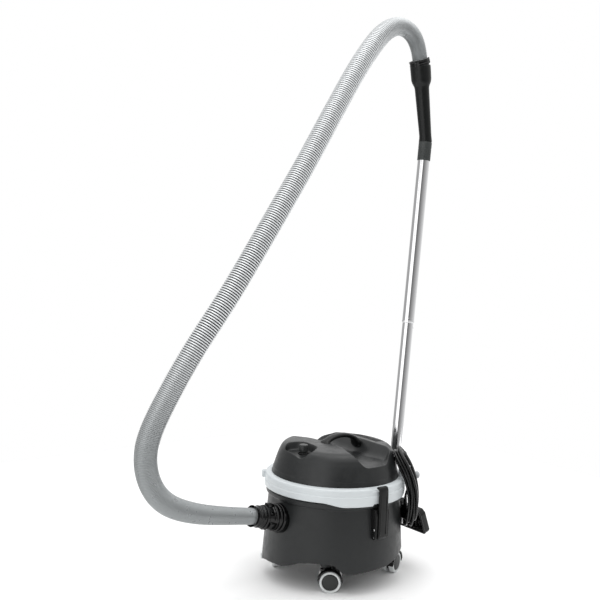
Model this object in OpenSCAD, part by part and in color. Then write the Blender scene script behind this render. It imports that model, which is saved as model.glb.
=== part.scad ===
// Commercial dry tub vacuum on four twin-wheel casters, with hose, steel wand and floor tool parked
// at the rear. The origin is on the floor under the tub's axis; the hose inlet faces -Y.

/* [Tub] */
// Outer radius of the tub at its rim
tub_r_top = 183; // [180:0.5:184]
// Outer radius of the tub at its foot
tub_r_foot = 193; // [190:0.5:193]
// Height of the tub's upper edge above the floor
tub_top = 246; // [245:1:247]
// Wall thickness of the tub
tub_wall = 3.5; // [3:0.5:4]
// Height of the wheel arches
arch_top = 87; // [84:1:90]

/* [Head] */
// Outer radius of the light band
band_r = 195.5; // [194.5:0.5:196]
// Height of the band's upper edge
band_top = 286; // [285:1:287]
// Height of the head's crown
crown = 372; // [368:1:376]
// Wall thickness of the head cover
cover_wall = 3; // [2.5:0.5:3]
// Travel of the head when it is lifted off
head_travel = 110; // [60:10:110]

/* [Hose and wand] */
// Outside diameter of the hose, stretched
hose_d = 54; // [46:2:56]
// Outside diameter of the hose at its two cuffs
hose_end_d = 44; // [40:1:44]
// Outside diameter of the lower wand tube
wand_d = 32; // [32:0.5:32.5]
// Lean of the wand towards the rear
wand_lean = 4.07; // [3.8:0.01:4.4]
// Length of one wand tube
tube_len = 500; // [480:10:500]
// Upward tilt of the hose inlet
inlet_tilt = 12; // [8:1:14]

/* [Running gear] */
// Diameter of the caster wheels
wheel_d = 58; // [54:1:58]
// Distance of the wheel axle from the swivel axis
trail = 14.5; // [12:0.5:16]

/* [Floor tool] */
// Width of the floor tool
tool_w = 280; // [240:10:280]
// Depth of the floor tool
tool_depth = 74; // [70:1:76]

/* [Cord] */
// Outside diameter of the power cord
cord_d = 7.2; // [6.8:0.1:7.6]

/* [Hidden] */
$fn = 96;

// ---- clearances ----
run = 0.05;              // radial play of a running fit
gap = 0.3;               // gap between pieces that move apart
eps = 0.01;

// ---- colours ----
charcoal = [0.23, 0.24, 0.25];
black = [0.08, 0.08, 0.09];
pale = [0.85, 0.87, 0.88];
steel = [0.75, 0.76, 0.78];
copper = [0.72, 0.45, 0.25];
hose_grey = [0.68, 0.70, 0.72];
paper = [0.86, 0.83, 0.76];

// ---- tub ----
foot_z = 54;             // lowest edge of the skirt
side_foot_z = 62;        // lower edge of the skirt at the sides
floor_z = 88;            // underside of the tub's floor
rim_r = 190;             // outer radius of the rolled rim
rim_h = 15;
boss_r = 13;             // socket boss over each caster
boss_foot = 67;
swivel_x = 102;          // front casters' swivel axes
swivel_y = 106;
rear_x = 92;             // rear casters' swivel axes
rear_y = 134;
rear_arch = 144;         // how far round from the front the rear wheel arches stand
stem_r = 5.5;
wheel_r = wheel_d / 2;
hood_r = wheel_r + 6.5;
heading_fr = 50;         // which way each caster trails, turned from +X towards +Y
heading_fl = 150;
heading_rr = 114;
heading_rl = 62;

// ---- hose inlet: its frame starts at the tub wall and points up the hose's axis ----
inlet_y = -186;
inlet_z = 182;
inlet_r = 27;

// ---- latches ----
latch_x = 195;
latch_z = 156;
latch_w = 30;
latch_pin_r = 2.5;
plate_x = 199;
plate_t = 6;
lip_z = 281.5;
latch_top = 288;

// ---- motor, all on the tub's axis ----
deck_z = 250;
deck_t = 4;
housing_z = 259;
housing_top = 326;
housing_r = 72;
shaft_r = 5;
bearing_r = 13;

// ---- wand frame: starts at the lower end of the lower tube ----
wand_y = 221;
wand_z = 205;
wand_r = wand_d / 2;
upper_r = 17.5;
joint_w = 493;           // where the upper tube starts, along the wand
bend_w = 1027;           // where the grip bends away from the wand
grip_lean = 9.5;
grip_r = 20.5;
collar_w = 4;
tongue_y = 191.2;        // inner face of the parking tongue
tongue_w = 20;

// ---- floor tool frame: on the sole, in the middle of the tool ----
tool_y = 212;
tool_z = 141;
tool_tilt = -68;
knuckle_y = -26.3;
knuckle_z = 17.7;
knuckle_r = 15;

// ---- power cord hank: a bowed bundle on the hook, seen along its width ----
hank_turn = 46;          // how far round from the rear the hank hangs
hank_mid_r = -20;        // centre of the bow, from the tub's axis
hank_mid_z = 205;
hank_in = 228;
hank_out = 257;
hank_low = -13.6;        // angles of the bow's two ends
hank_high = 33.3;
hank_w = 80;

// ---- routes of the cords: points chosen by hand ----
hose_route = [
  [0, -256, 197], [0, -275, 201], [2, -322, 209], [5, -380, 220], [8, -440, 233], [13, -496, 252],
  [16, -532, 268], [19, -563, 291], [23, -590, 326], [27, -608, 371], [31, -612.5, 420], [35, -603.5, 458],
  [39, -586, 500], [43, -565, 541], [47, -541, 586], [51, -514, 632], [54, -483, 680], [57, -450, 727],
  [59, -416, 775], [60, -383, 824], [60, -350, 874], [59, -317, 924], [58, -282, 975], [55, -247, 1027],
  [52, -210, 1080], [48, -174, 1133], [43, -137, 1188], [38, -100, 1244], [32, -61, 1300],
  [26, -21, 1359], [20, 23, 1418], [14, 70, 1474], [10, 95, 1499], [8, 120, 1518], [5, 145, 1532],
  [4, 170, 1538], [3, 195, 1536], [2, 218, 1527], [1, 236, 1512], [0, 249, 1490], [0, 256, 1462],
  [0, 261, 1428]
];
lead_route = [
  [43.5, 177, 309], [45, 184, 315], [49, 193, 326], [57, 198, 336], [69, 194, 343], [82, 183, 347],
  [94, 169, 348], [104, 156, 346], [107, 152, 345]
];
plug_route = [
  [127, 169, 277], [122, 172, 268], [115, 177, 256], [107, 181, 245], [99, 185, 234], [94, 187, 223],
  [92, 188, 212], [92, 188, 206]
];
plug_x = 92;
plug_y = 188;
plug_top = 212;

// ======== frames and small helpers ========
module at_inlet() translate([0, inlet_y, inlet_z]) rotate([90 - inlet_tilt, 0, 0]) children();
module at_wand(w = 0) translate([0, wand_y, wand_z]) rotate([-wand_lean, 0, 0]) translate([0, 0, w])
  children();
module at_grip() at_wand(bend_w) rotate([wand_lean + grip_lean, 0, 0]) children();
module at_tool() translate([0, tool_y, tool_z]) rotate([tool_tilt, 0, 0]) children();
module at_hank() rotate([0, 0, -hank_turn]) children();
module ring(r_out, r_in, h) difference() {
  cylinder(r = r_out, h = h);
  translate([0, 0, -1]) cylinder(r = r_in, h = h + 2);
}
function swivel_at(sx, sy) = [sx * (sy < 0 ? swivel_x : rear_x), sy * (sy < 0 ? swivel_y : rear_y), 0];
module along_x(len) rotate([0, 90, 0]) translate([0, 0, -len / 2]) children();

// ======== sweep of a round tube along a route ========
function unit(v) = v / norm(v);
function tangent(p, i) = unit(p[min(i + 1, len(p) - 1)] - p[max(i - 1, 0)]);
function tube_ring(c, t, r, n, ref) = let (a = unit(cross(t, ref)), b = cross(t, a))
  [for (k = [0:n - 1]) c + r * (cos(360 * k / n) * a + sin(360 * k / n) * b)];
// The tube has radius r, and radius r_end at its two ends. It never runs along ref.
module tube(p, r, r_end, n, ref) {
  m = len(p);
  pts = [for (i = [0:m - 1]) each tube_ring(p[i], tangent(p, i),
    r_end + (r - r_end) * max(0, min(1, (i - 1) / 5, (m - 4 - i) / 5)), n, ref)];
  sides = [for (i = [0:m - 2], k = [0:n - 1])
    [i * n + k, i * n + (k + 1) % n, (i + 1) * n + (k + 1) % n, (i + 1) * n + k]];
  first = [for (k = [0:n - 1]) n - 1 - k];
  last = [for (k = [0:n - 1]) (m - 1) * n + k];
  polyhedron(points = pts, faces = concat([first], sides, [last]));
}

// ======== tub ========
module tub_solid() rotate_extrude() polygon([
  [0, foot_z], [tub_r_foot, foot_z], [tub_r_top, tub_top - rim_h], [rim_r - 2, tub_top - rim_h],
  [rim_r, tub_top - rim_h + 2], [rim_r, tub_top], [0, tub_top]
]);
module tub_bore() rotate_extrude() polygon([
  [0, floor_z + 4], [tub_r_foot - tub_wall - 1.8, floor_z + 4], [tub_r_top - tub_wall, tub_top - rim_h],
  [tub_r_top - tub_wall, tub_top + 1], [0, tub_top + 1]
]);
module tub_underside() rotate_extrude() polygon([
  [0, foot_z - 1], [tub_r_foot - tub_wall, foot_z - 1], [tub_r_foot - tub_wall - 1.7, floor_z], [0, floor_z]
]);
// One wheel arch: a gentle rise towards the front of the machine, and a steep end
module arch_cut(side) rotate([90, 0, 0]) linear_extrude(height = 60) polygon([
  [-84 * side, 0], [-84 * side, foot_z - 1], [-66 * side, 60], [-22 * side, arch_top - 1],
  [0, arch_top], [34 * side, arch_top], [46 * side, arch_top - 8], [60 * side, side_foot_z], [60 * side, 0]
]);
module arch_cuts() for (s = [-1, 1]) {
  rotate([0, 0, 40 * s]) translate([0, -150, 0]) arch_cut(s);
  rotate([0, 0, rear_arch * s]) translate([0, -150, 0]) arch_cut(-s);
}
module tub_shell() color(charcoal) difference() {
  union() {
    difference() {
      tub_solid();
      tub_bore();
      tub_underside();
    }
    for (sx = [-1, 1], sy = [-1, 1]) translate(swivel_at(sx, sy)) translate([0, 0, boss_foot])
      cylinder(r = boss_r, h = floor_z - boss_foot + 1);
  }
  arch_cuts();
  for (s = [-1, 1]) rotate([0, 0, 90 * s]) translate([-110, -tub_r_foot - 20, 0])
    cube([220, 60, side_foot_z]);
  for (sx = [-1, 1], sy = [-1, 1]) translate(swivel_at(sx, sy)) translate([0, 0, boss_foot - 1])
    cylinder(r = stem_r + run, h = 19);
  at_inlet() translate([0, 0, -40]) cylinder(r = 31, h = 60);
}

// ======== hose inlet ========
module inlet_flange() color(black) difference() {
  union() {
    at_inlet() translate([0, 0, -14]) cylinder(r = 31, h = 16);
    at_inlet() translate([0, 0, -12]) cylinder(r = 39, h = 26);
  }
  difference() {
    tub_solid();
    at_inlet() translate([0, 0, -14]) cylinder(r = 31, h = 40);
  }
  at_inlet() translate([0, 0, -30]) cylinder(r = inlet_r, h = 60);
}
module inlet_seal() color(black) at_inlet() translate([0, 0, -20]) ring(36, inlet_r, 5.9);
module inlet_elbow() color(charcoal) at_inlet() translate([0, 0, -34]) ring(36, inlet_r, 14);
module dust_bag() color(paper) translate([0, 12, 0]) rotate_extrude() polygon([
  [0, 94], [98, 94], [112, 104], [114, 150], [104, 190], [84, 206], [0, 210]
]);

// ======== latches ========
module latch_bracket(side) color(black) difference() {
  for (s = [-1, 1]) translate([side > 0 ? 176 : -201, s > 0 ? 15.4 : -23, 149]) cube([25, 7.6, 80]);
  tub_solid();
  translate([side * latch_x, 30, latch_z]) rotate([90, 0, 0]) cylinder(r = latch_pin_r, h = 60);
}
module latch_bracket_right() latch_bracket(1);
module latch_bracket_left() latch_bracket(-1);
module latch_pins() color(steel) for (s = [-1, 1])
  translate([s * latch_x, 23, latch_z]) rotate([90, 0, 0]) cylinder(r = latch_pin_r, h = 46);
module latch(side) color(black) difference() {
  mirror([side > 0 ? 0 : 1, 0, 0]) union() {
    translate([plate_x, -latch_w / 2, latch_z - 6]) cube([plate_t, latch_w, latch_top - latch_z + 6]);
    translate([190.5, -latch_w / 2, lip_z]) cube([plate_x - 190.5 + 1, latch_w, latch_top - lip_z]);
    translate([latch_x, latch_w / 2, latch_z]) rotate([90, 0, 0]) cylinder(r = 6, h = latch_w);
  }
  translate([side * latch_x, 30, latch_z]) rotate([90, 0, 0]) cylinder(r = latch_pin_r + run, h = 60);
}
module latch_right() latch(1);
module latch_left() latch(-1);

// ======== parking pocket at the rear: the tongue on the tool's neck hangs in it ========
module parking_pocket() color(black) difference() {
  translate([-18, 176, 178]) cube([36, 22.6, 18]);
  tub_solid();
  translate([-tongue_w / 2 - 0.5, tongue_y - 0.5, 170]) cube([tongue_w + 1, 4.9, 40]);
}

// ======== hose ========
module hose() color(hose_grey) tube(hose_route, hose_d / 2, hose_end_d / 2, 12, [1, 0, 0]);
module hose_bayonet() color(black) at_inlet() difference() {
  union() {
    translate([0, 0, -24]) cylinder(r = inlet_r - run, h = 40);
    translate([0, 0, 14 + gap]) cylinder(r = 36.5, h = 17.7);
    translate([0, 0, 31]) cylinder(r = 33, h = 30);
    for (a = [0, 120, 240]) rotate([0, 0, a]) translate([-9, 24, 31]) cube([18, 13, 22]);
  }
  translate([0, 0, -30]) cylinder(r = 22, h = 120);
}
module hose_cuff() color(black) at_inlet() difference() {
  union() {
    translate([0, 0, 61]) cylinder(r = 27.5, h = 34);
    for (z = [63, 73, 90]) translate([0, 0, z]) cylinder(r = 29, h = 5);
  }
  translate([0, 0, 60]) cylinder(r = 22, h = 6);
  translate([0, 0, 65]) cylinder(r = hose_end_d / 2 + 1.2, h = 40);
}

// ======== head ========
// The band: an outer ring with a stepped face, and a shelf that carries the deck
module head_band() color(pale) difference() {
  rotate_extrude() polygon([
    [191, 239], [band_r, 239], [band_r, 265], [band_r - 2, 267], [band_r - 2, 279],
    [band_r - 5, 284], [177, band_top], [172, band_top], [172, 281], [188, 280], [188, deck_z + deck_t],
    [186, deck_z + deck_t], [186, deck_z - 0.5], [191, deck_z - 0.5]
  ]);
  for (a = [-90, 90]) rotate([0, 0, a - 50]) translate([0, 0, 238])
    rotate_extrude(angle = 100) translate([160, 0]) square([50, 9]);
  for (s = [-1, 1]) translate([s > 0 ? 183 : -213, -20, 278.5]) cube([30, 40, 12]);
  for (s = [-1, 1]) translate([s > 0 ? 192.8 : -212.8, -20, 238]) cube([20, 40, 6]);
}
module rim_seal() color(black) translate([0, 0, tub_top]) ring(185.9, 180, deck_z - tub_top);
module motor_deck() color(charcoal) difference() {
  translate([0, 0, deck_z]) cylinder(r = 186, h = deck_t);
  translate([0, 0, deck_z - 1]) cylinder(r = 30, h = 6);
  for (a = [0:90:270]) rotate([0, 0, a + 45]) translate([67, 0, deck_z - 1]) cylinder(r = 2.5, h = 6);
}
module motor_filter() color(pale) translate([0, 0, 222]) difference() {
  cylinder(r = 92, h = deck_z - 222);
  translate([0, 0, 4]) cylinder(r = 84, h = 40);
}
module motor_mount_ring() color(black) difference() {
  translate([0, 0, deck_z + deck_t]) ring(housing_r, 52, housing_z - deck_z - deck_t);
  for (a = [0:90:270]) rotate([0, 0, a + 45]) translate([67, 0, deck_z]) cylinder(r = 2.5, h = 20);
}
module motor_housing() color(steel) translate([0, 0, housing_z]) difference() {
  cylinder(r = housing_r, h = housing_top - housing_z);
  translate([0, 0, 3]) cylinder(r = 62, h = 21);
  translate([0, 0, 30]) cylinder(r = 69, h = 31);
  translate([0, 0, -1]) cylinder(r = 24, h = 5);
  translate([0, 0, 20]) cylinder(r = bearing_r, h = 60);
  for (a = [0:60:300]) rotate([0, 0, a]) translate([40, -8, 34]) cube([50, 16, 20]);
  for (a = [0:60:300]) rotate([0, 0, a + 30]) translate([50, 0, 22]) cylinder(r = 7, h = 12);
  for (a = [0:90:270]) rotate([0, 0, a + 45]) translate([67, 0, -1]) cylinder(r = 2.5, h = 14);
}
module motor_stator() color(copper) translate([0, 0, 290]) ring(69, 39, 26);
module motor_bearings() color(steel) for (z = [283, 320]) translate([0, 0, z])
  ring(bearing_r, shaft_r + run, 6);
module motor_screws() color(steel) for (a = [0:90:270]) rotate([0, 0, a + 45]) translate([67, 0, 0]) {
  translate([0, 0, deck_z - 3]) cylinder(r = 4.5, h = 3);
  translate([0, 0, deck_z]) cylinder(r = 2.5, h = 18);
}
module rotor_shaft() color(steel) translate([0, 0, 264]) cylinder(r = shaft_r, h = 66);
module fan_impeller() color(steel) translate([0, 0, 265]) difference() {
  union() {
    cylinder(r = 58, h = 1.5);
    translate([0, 0, 14.5]) cylinder(r = 58, h = 1.5);
    for (a = [0:45:315]) rotate([0, 0, a]) translate([16, -1, 0]) cube([41, 2, 16]);
    cylinder(r = 9, h = 16);
  }
  translate([0, 0, -1]) cylinder(r = shaft_r, h = 20);
  difference() {
    translate([0, 0, -1]) cylinder(r = 22, h = 4);
    translate([0, 0, -2]) cylinder(r = 9, h = 8);
  }
}
module armature() color(copper) translate([0, 0, 291]) ring(38, shaft_r, 24);

cover_line = [
  [176, 286], [173, 300], [165, 329], [160, 344], [154.5, 356], [147, 364], [135, 368], [100, 370.5]
];
module cover_solid() rotate_extrude() polygon(concat([[0, 286]], cover_line, [[0, crown]]));
module cover_void() translate([0, 0, -cover_wall]) rotate_extrude() polygon(concat(
  [[0, 280], [172.8, 280]], [for (p = cover_line) [p.x - 3.2, p.y]], [[0, crown]]));
// Transverse valley under the carry handle
module valley(t) rotate([90, 0, 90]) translate([0, 0, -200]) linear_extrude(height = 400) polygon([
  [-37 - t, 384], [-33 - t, 371], [-16 - t, 341 - t], [-8, 337 - t], [58, 335 - t], [66 + t, 338 - t],
  [86 + t, 368], [90 + t, 384]
]);
// Hollow around the switch
module dish(t) translate([-6, -118, 348 - t]) {
  for (x = [-19, 19]) translate([x, 0, 0]) cylinder(r = 31 + t, h = 40);
  translate([-19, -30.5 - t, 0]) cube([38, 61 + 2 * t, 40]);
}
module at_gland() translate([40.5, 163, 297]) rotate([0, 0, -12]) rotate([-50, 0, 0]) children();
module head_cover() color(charcoal) difference() {
  cover_solid();
  difference() {
    cover_void();
    valley(cover_wall);
    dish(cover_wall);
  }
  valley(0);
  dish(0);
  translate([-54, 99, 350]) cube([108, 32, 40]);
  translate([-5, -110, 340]) cylinder(r = 12.4, h = 20);
  at_gland() translate([0, 0, -20]) cylinder(r = 7, h = 60);
}
module carry_handle() color(black) difference() {
  union() {
    rotate([90, 0, 90]) translate([26, 316, -13]) linear_extrude(height = 26) difference() {
      circle(r = 80);
      circle(r = 68);
      translate([-100, -100]) square([200, 152]);
      translate([-100, -100]) square([38, 200]);
      translate([62, -100]) square([38, 200]);
    }
    translate([-13, -48, 367.5]) cube([26, 22, 9]);
    translate([-13, 78, 367.5]) cube([26, 20, 8]);
  }
  difference() {
    cover_solid();
    valley(0);
  }
}
module exhaust_grille() color(black) difference() {
  intersection() {
    translate([-54, 99, 350]) cube([108, 32, 40]);
    difference() {
      cover_solid();
      translate([0, 0, -cover_wall]) cover_solid();
    }
  }
  for (x = [-48:8:48]) translate([x - 2, 103, 340]) cube([4, 24, 50]);
}
module exhaust_foam() color(black) intersection() {
  translate([-52, 100, 340]) cube([104, 30, 40]);
  difference() {
    translate([0, 0, -cover_wall]) cover_solid();
    translate([0, 0, -cover_wall - 10]) cover_solid();
  }
}
module switch_housing() color(black) translate([-5, -110, 330]) difference() {
  cylinder(r = 16, h = 15);
  translate([0, 0, 3]) cylinder(r = 12.4, h = 20);
}
module switch_button() color(black) translate([-5, -110, 338]) {
  cylinder(r = 8, h = 14);
  translate([0, 0, 14]) cylinder(r = 12, h = 21);
}

// ======== cord ========
module cord_gland() color(black) at_gland() {
  translate([0, 0, -6]) cylinder(r = 7, h = 18);
  translate([0, 0, 12]) cylinder(r1 = 7, r2 = 5.2, h = 16);
}
module cord_hook() color(pale) difference() {
  union() {
    rotate([0, 0, -23]) translate([0, 192, 269]) rotate([-90, 0, 0]) cylinder(r = 5, h = 50);
    rotate([0, 0, -23]) translate([0, 240, 269]) rotate([-90, 0, 0]) cylinder(r = 10, h = 10);
    at_hank() translate([-7, 177.2, 286]) cube([14, 9, 26]);
    at_hank() translate([0, 180, 309]) rotate([-82, 0, 0]) cylinder(r = 5, h = 26);
  }
  head_band();
}
module hank_outline() {
  difference() {
    circle(r = hank_out);
    circle(r = hank_in);
    rotate(hank_high) square([400, 400]);
    rotate(hank_low - 90) square([400, 400]);
    rotate(hank_high + 90) translate([0, -1]) square([400, 400]);
    rotate(hank_high + 180) translate([0, -1]) square([400, 400]);
  }
  for (a = [hank_low, hank_high]) rotate(a) translate([(hank_in + hank_out) / 2, 0])
    circle(r = (hank_out - hank_in) / 2 - 0.3);
}
module cord_hank() color(black) difference() {
  at_hank() translate([-hank_w / 2, hank_mid_r, hank_mid_z]) rotate([90, 0, 90])
    linear_extrude(height = hank_w) hank_outline();
  at_hank() translate([-10, 150, 185]) cube([20, 150, 132]);
}
module power_cord() color(black) tube(lead_route, cord_d / 2, cord_d / 2, 8, [0, 1, 0]);
module plug_lead() color(black) tube(plug_route, cord_d / 2, cord_d / 2, 8, [0, 1, 0]);
module mains_plug() color(black) translate([plug_x, plug_y, 0]) {
  translate([0, 0, plug_top - 30]) cylinder(r1 = 7.5, r2 = 4.6, h = 30);
  for (x = [-10, 10]) translate([x, 0, plug_top - 64]) cylinder(r = 8.5, h = 34);
  translate([-10, -8.5, plug_top - 64]) cube([20, 17, 34]);
  color(steel) for (x = [-9.5, 9.5]) translate([x, 0, plug_top - 83]) cylinder(r = 2.4, h = 19);
}

// ======== casters ========
module at_caster(sx, sy, heading) translate(swivel_at(sx, sy)) rotate([0, 0, heading]) children();
module caster_hood(sx, sy, heading) color(black) at_caster(sx, sy, heading) difference() {
  union() {
    translate([0, 0, 58]) cylinder(r = 10, h = 8.6);
    translate([0, 0, 58]) cylinder(r = stem_r, h = 25);
    translate([trail, 0, wheel_r]) rotate([90, 0, 0]) translate([0, 0, -22]) difference() {
      cylinder(r = hood_r, h = 44);
      translate([0, 0, -1]) cylinder(r = wheel_r + 2, h = 20.5);
      translate([0, 0, 24.5]) cylinder(r = wheel_r + 2, h = 20.5);
      translate([-60, -66, -1]) cube([120, 60, 46]);
      translate([-60, -6, 19]) cube([120, 6, 6]);
    }
    translate([trail, 2.5, wheel_r]) rotate([90, 0, 0]) cylinder(r = 9, h = 5);
  }
  translate([trail, 30, wheel_r]) rotate([90, 0, 0]) cylinder(r = 3 + run, h = 60);
}
module caster_tyres(sx, sy, heading) color(pale) at_caster(sx, sy, heading) for (y = [-19.5, 4])
  translate([trail, y + 15.5, wheel_r]) rotate([90, 0, 0]) ring(wheel_r, 22.5, 15.5);
module caster_hubs(sx, sy, heading) color(charcoal) at_caster(sx, sy, heading)
  translate([trail, 0, wheel_r]) rotate([90, 0, 0]) {
    for (z = [-19.5, 4]) translate([0, 0, z]) cylinder(r = 22.5, h = 15.5);
    translate([0, 0, -10]) cylinder(r = 3, h = 20);
  }
module caster_hood_fr() caster_hood(1, -1, heading_fr);
module caster_hood_fl() caster_hood(-1, -1, heading_fl);
module caster_hood_rr() caster_hood(1, 1, heading_rr);
module caster_hood_rl() caster_hood(-1, 1, heading_rl);
module caster_tyres_fr() caster_tyres(1, -1, heading_fr);
module caster_tyres_fl() caster_tyres(-1, -1, heading_fl);
module caster_tyres_rr() caster_tyres(1, 1, heading_rr);
module caster_tyres_rl() caster_tyres(-1, 1, heading_rl);
module caster_hubs_fr() caster_hubs(1, -1, heading_fr);
module caster_hubs_fl() caster_hubs(-1, -1, heading_fl);
module caster_hubs_rr() caster_hubs(1, 1, heading_rr);
module caster_hubs_rl() caster_hubs(-1, 1, heading_rl);

// ======== wand ========
module wand_lower() color(steel) at_wand() ring(wand_r, wand_r - 1, joint_w + 45);
module wand_upper() color(steel) at_wand(joint_w) ring(upper_r, wand_r, tube_len);
module grip() color(black) difference() {
  union() {
    at_wand(bend_w - 60) cylinder(r = 18.4, h = 58);
    at_wand(bend_w - 2) cylinder(r = grip_r + 0.4, h = 6);
    at_grip() cylinder(r = grip_r, h = 160);
    at_grip() translate([0, 0, 150]) cylinder(r1 = grip_r, r2 = 29, h = 14);
    at_grip() translate([0, 0, 164]) cylinder(r = 29, h = 48);
  }
  at_wand(bend_w - 61) cylinder(r = upper_r, h = 61 - (bend_w - joint_w - tube_len));
  at_wand(bend_w - 40) cylinder(r = 15, h = 42);
  at_grip() cylinder(r = 14.5, h = 175);
  at_grip() translate([0, 0, 172]) cylinder(r = 26.5, h = 60);
  at_wand(bend_w - 20) rotate([90, 0, 0]) cylinder(r = 5, h = 40);
}
module bleed_ring() color(charcoal) at_wand(bend_w - 60) difference() {
  cylinder(r = 19.8, h = 53);
  translate([0, 0, -1]) cylinder(r = 18.4 + run, h = 70);
  translate([0, 0, 40]) rotate([90, 0, 60]) cylinder(r = 5, h = 40);
}
module grip_swivel() color(black) at_grip() difference() {
  union() {
    translate([0, 0, 175]) cylinder(r = 26.5 - run, h = 37.5);
    translate([0, 0, 212 + gap]) cylinder(r = 28, h = 14);
  }
  translate([0, 0, 170]) cylinder(r = 22, h = 22);
  translate([0, 0, 191]) cylinder(r = hose_end_d / 2 + 1.2, h = 60);
}

// ======== floor tool ========
module tool_neck() color(black) difference() {
  union() {
    at_tool() translate([0, knuckle_y, knuckle_z]) along_x(52) cylinder(r = knuckle_r, h = 52);
    at_tool() translate([0, knuckle_y, knuckle_z]) along_x(68) cylinder(r = 4, h = 68);
    at_wand(-26) cylinder(r = 20, h = 68);
    at_wand(collar_w) cylinder(r = 24.5, h = 6);
    translate([-tongue_w / 2, tongue_y, 185]) cube([tongue_w, 3, 22]);
    translate([-tongue_w / 2, tongue_y + 1, 203]) cube([tongue_w, 20, 4]);
  }
  at_wand(0) cylinder(r = wand_r, h = 60);
  at_wand(-40) cylinder(r = 13, h = 60);
}
module tool_plan(w, d) {
  polygon([
    [-w / 2, -d / 2 + 12], [-w / 2 + 10, -d / 2], [w / 2 - 10, -d / 2], [w / 2, -d / 2 + 12],
    [w / 2, d / 2 - 8], [w / 2 - 8, d / 2], [-w / 2 + 8, d / 2], [-w / 2, d / 2 - 8]
  ]);
}
module tool_body() color(black) at_tool() difference() {
  union() {
    translate([0, 0, 3]) linear_extrude(height = 21) tool_plan(tool_w, tool_depth);
    translate([-42, -43, 6]) cube([84, 56, 29]);
  }
  translate([0, knuckle_y, knuckle_z]) along_x(54.6) cylinder(r = knuckle_r + gap, h = 54.6);
  translate([0, knuckle_y, knuckle_z]) along_x(70) cylinder(r = 4 + run, h = 70);
  translate([-27.3, -60, knuckle_z]) cube([54.6, 57, 40]);
  translate([-27.3, -60, 2]) cube([54.6, 60 + knuckle_y, 30]);
  translate([-25, 14.5, 16]) cube([50, 25.5, 20]);
  translate([0, 26, 20]) along_x(56) cylinder(r = 1.5 + run, h = 56);
  translate([-60, 5.5, 2]) cube([120, 16, 11]);
  translate([-122, -2, 2]) cube([244, 5, 15]);
  translate([-122, 25, 2]) cube([244, 5, 15]);
}
module tool_sole() color(steel) at_tool() difference() {
  linear_extrude(height = 3) tool_plan(tool_w, tool_depth);
  for (y = [-2, 25]) translate([-122, y, -1]) cube([244, 5, 5]);
  translate([-60, 5.5, -1]) cube([120, 16, 5]);
  translate([-28, -60, -1]) cube([56, 39, 5]);
}
module tool_brushes() color(black) at_tool() for (y = [-2, 25])
  translate([-121.5, y + 0.5, 1]) cube([243, 4, 9]);
module tool_pedal() color(black) at_tool() {
  translate([-24, 17, 20.5]) cube([48, 18, 8]);
  translate([0, 26, 20]) along_x(49.4) cylinder(r = 3.4, h = 49.4);
  translate([0, 26, 20]) along_x(54) cylinder(r = 1.5, h = 54);
}

tub_shell();
inlet_flange();
inlet_seal();
inlet_elbow();
dust_bag();
latch_bracket_right();
latch_bracket_left();
latch_pins();
parking_pocket();
hose();
head_band();
rim_seal();
motor_deck();
motor_filter();
motor_mount_ring();
motor_housing();
motor_stator();
motor_bearings();
motor_screws();
head_cover();
carry_handle();
exhaust_grille();
exhaust_foam();
switch_housing();
cord_gland();
cord_hook();
power_cord();
cord_hank();
plug_lead();
mains_plug();
switch_button();
rotor_shaft();
fan_impeller();
armature();
latch_right();
latch_left();
caster_hood_fr();
caster_hood_fl();
caster_hood_rr();
caster_hood_rl();
caster_tyres_fr();
caster_tyres_fl();
caster_tyres_rr();
caster_tyres_rl();
caster_hubs_fr();
caster_hubs_fl();
caster_hubs_rr();
caster_hubs_rl();
hose_bayonet();
hose_cuff();
wand_lower();
wand_upper();
grip();
tool_neck();
bleed_ring();
grip_swivel();
tool_body();
tool_sole();
tool_brushes();
tool_pedal();
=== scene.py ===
import math
import bmesh
import bpy
import numpy as np
from mathutils import Matrix, Vector


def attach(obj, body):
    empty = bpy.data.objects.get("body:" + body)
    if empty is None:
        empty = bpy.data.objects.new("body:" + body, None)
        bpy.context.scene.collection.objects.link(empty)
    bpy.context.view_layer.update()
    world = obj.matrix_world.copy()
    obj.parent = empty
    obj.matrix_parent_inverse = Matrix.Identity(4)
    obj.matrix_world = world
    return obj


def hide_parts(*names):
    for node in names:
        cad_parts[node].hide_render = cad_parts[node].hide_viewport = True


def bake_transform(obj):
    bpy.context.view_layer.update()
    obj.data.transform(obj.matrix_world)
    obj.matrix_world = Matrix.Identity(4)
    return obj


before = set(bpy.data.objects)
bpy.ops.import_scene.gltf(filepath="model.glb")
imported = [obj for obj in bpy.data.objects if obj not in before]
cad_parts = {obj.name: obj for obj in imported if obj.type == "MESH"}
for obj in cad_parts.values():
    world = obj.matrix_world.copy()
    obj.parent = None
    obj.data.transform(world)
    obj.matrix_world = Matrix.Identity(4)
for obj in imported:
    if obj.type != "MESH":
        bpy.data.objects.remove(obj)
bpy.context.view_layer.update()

MM = 0.001

# ---------------------------------------------------------------- camera
AZ, YAW, PITCH, ROLL = (math.radians(v) for v in (49.98, 2.56, 3.96, 2.12))
CAMERA_AWAY, CAMERA_HIGH = 2.577, 0.9395                # metres from the machine's axis, and above the floor
heading = AZ + YAW
forward = Vector((-math.sin(heading) * math.cos(PITCH), math.cos(heading) * math.cos(PITCH),
                  -math.sin(PITCH)))
level = Vector((math.cos(heading), math.sin(heading), 0))
raised = level.cross(forward)
right = level * math.cos(ROLL) + raised * math.sin(ROLL)
upward = raised * math.cos(ROLL) - level * math.sin(ROLL)
camera = bpy.data.objects.new("camera", bpy.data.cameras.new("camera"))
bpy.context.scene.collection.objects.link(camera)
turn = Matrix((right, upward, -forward)).transposed().to_4x4()
camera_at = (CAMERA_AWAY * math.sin(AZ), -CAMERA_AWAY * math.cos(AZ), CAMERA_HIGH)
camera.matrix_world = Matrix.Translation(camera_at) @ turn
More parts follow.
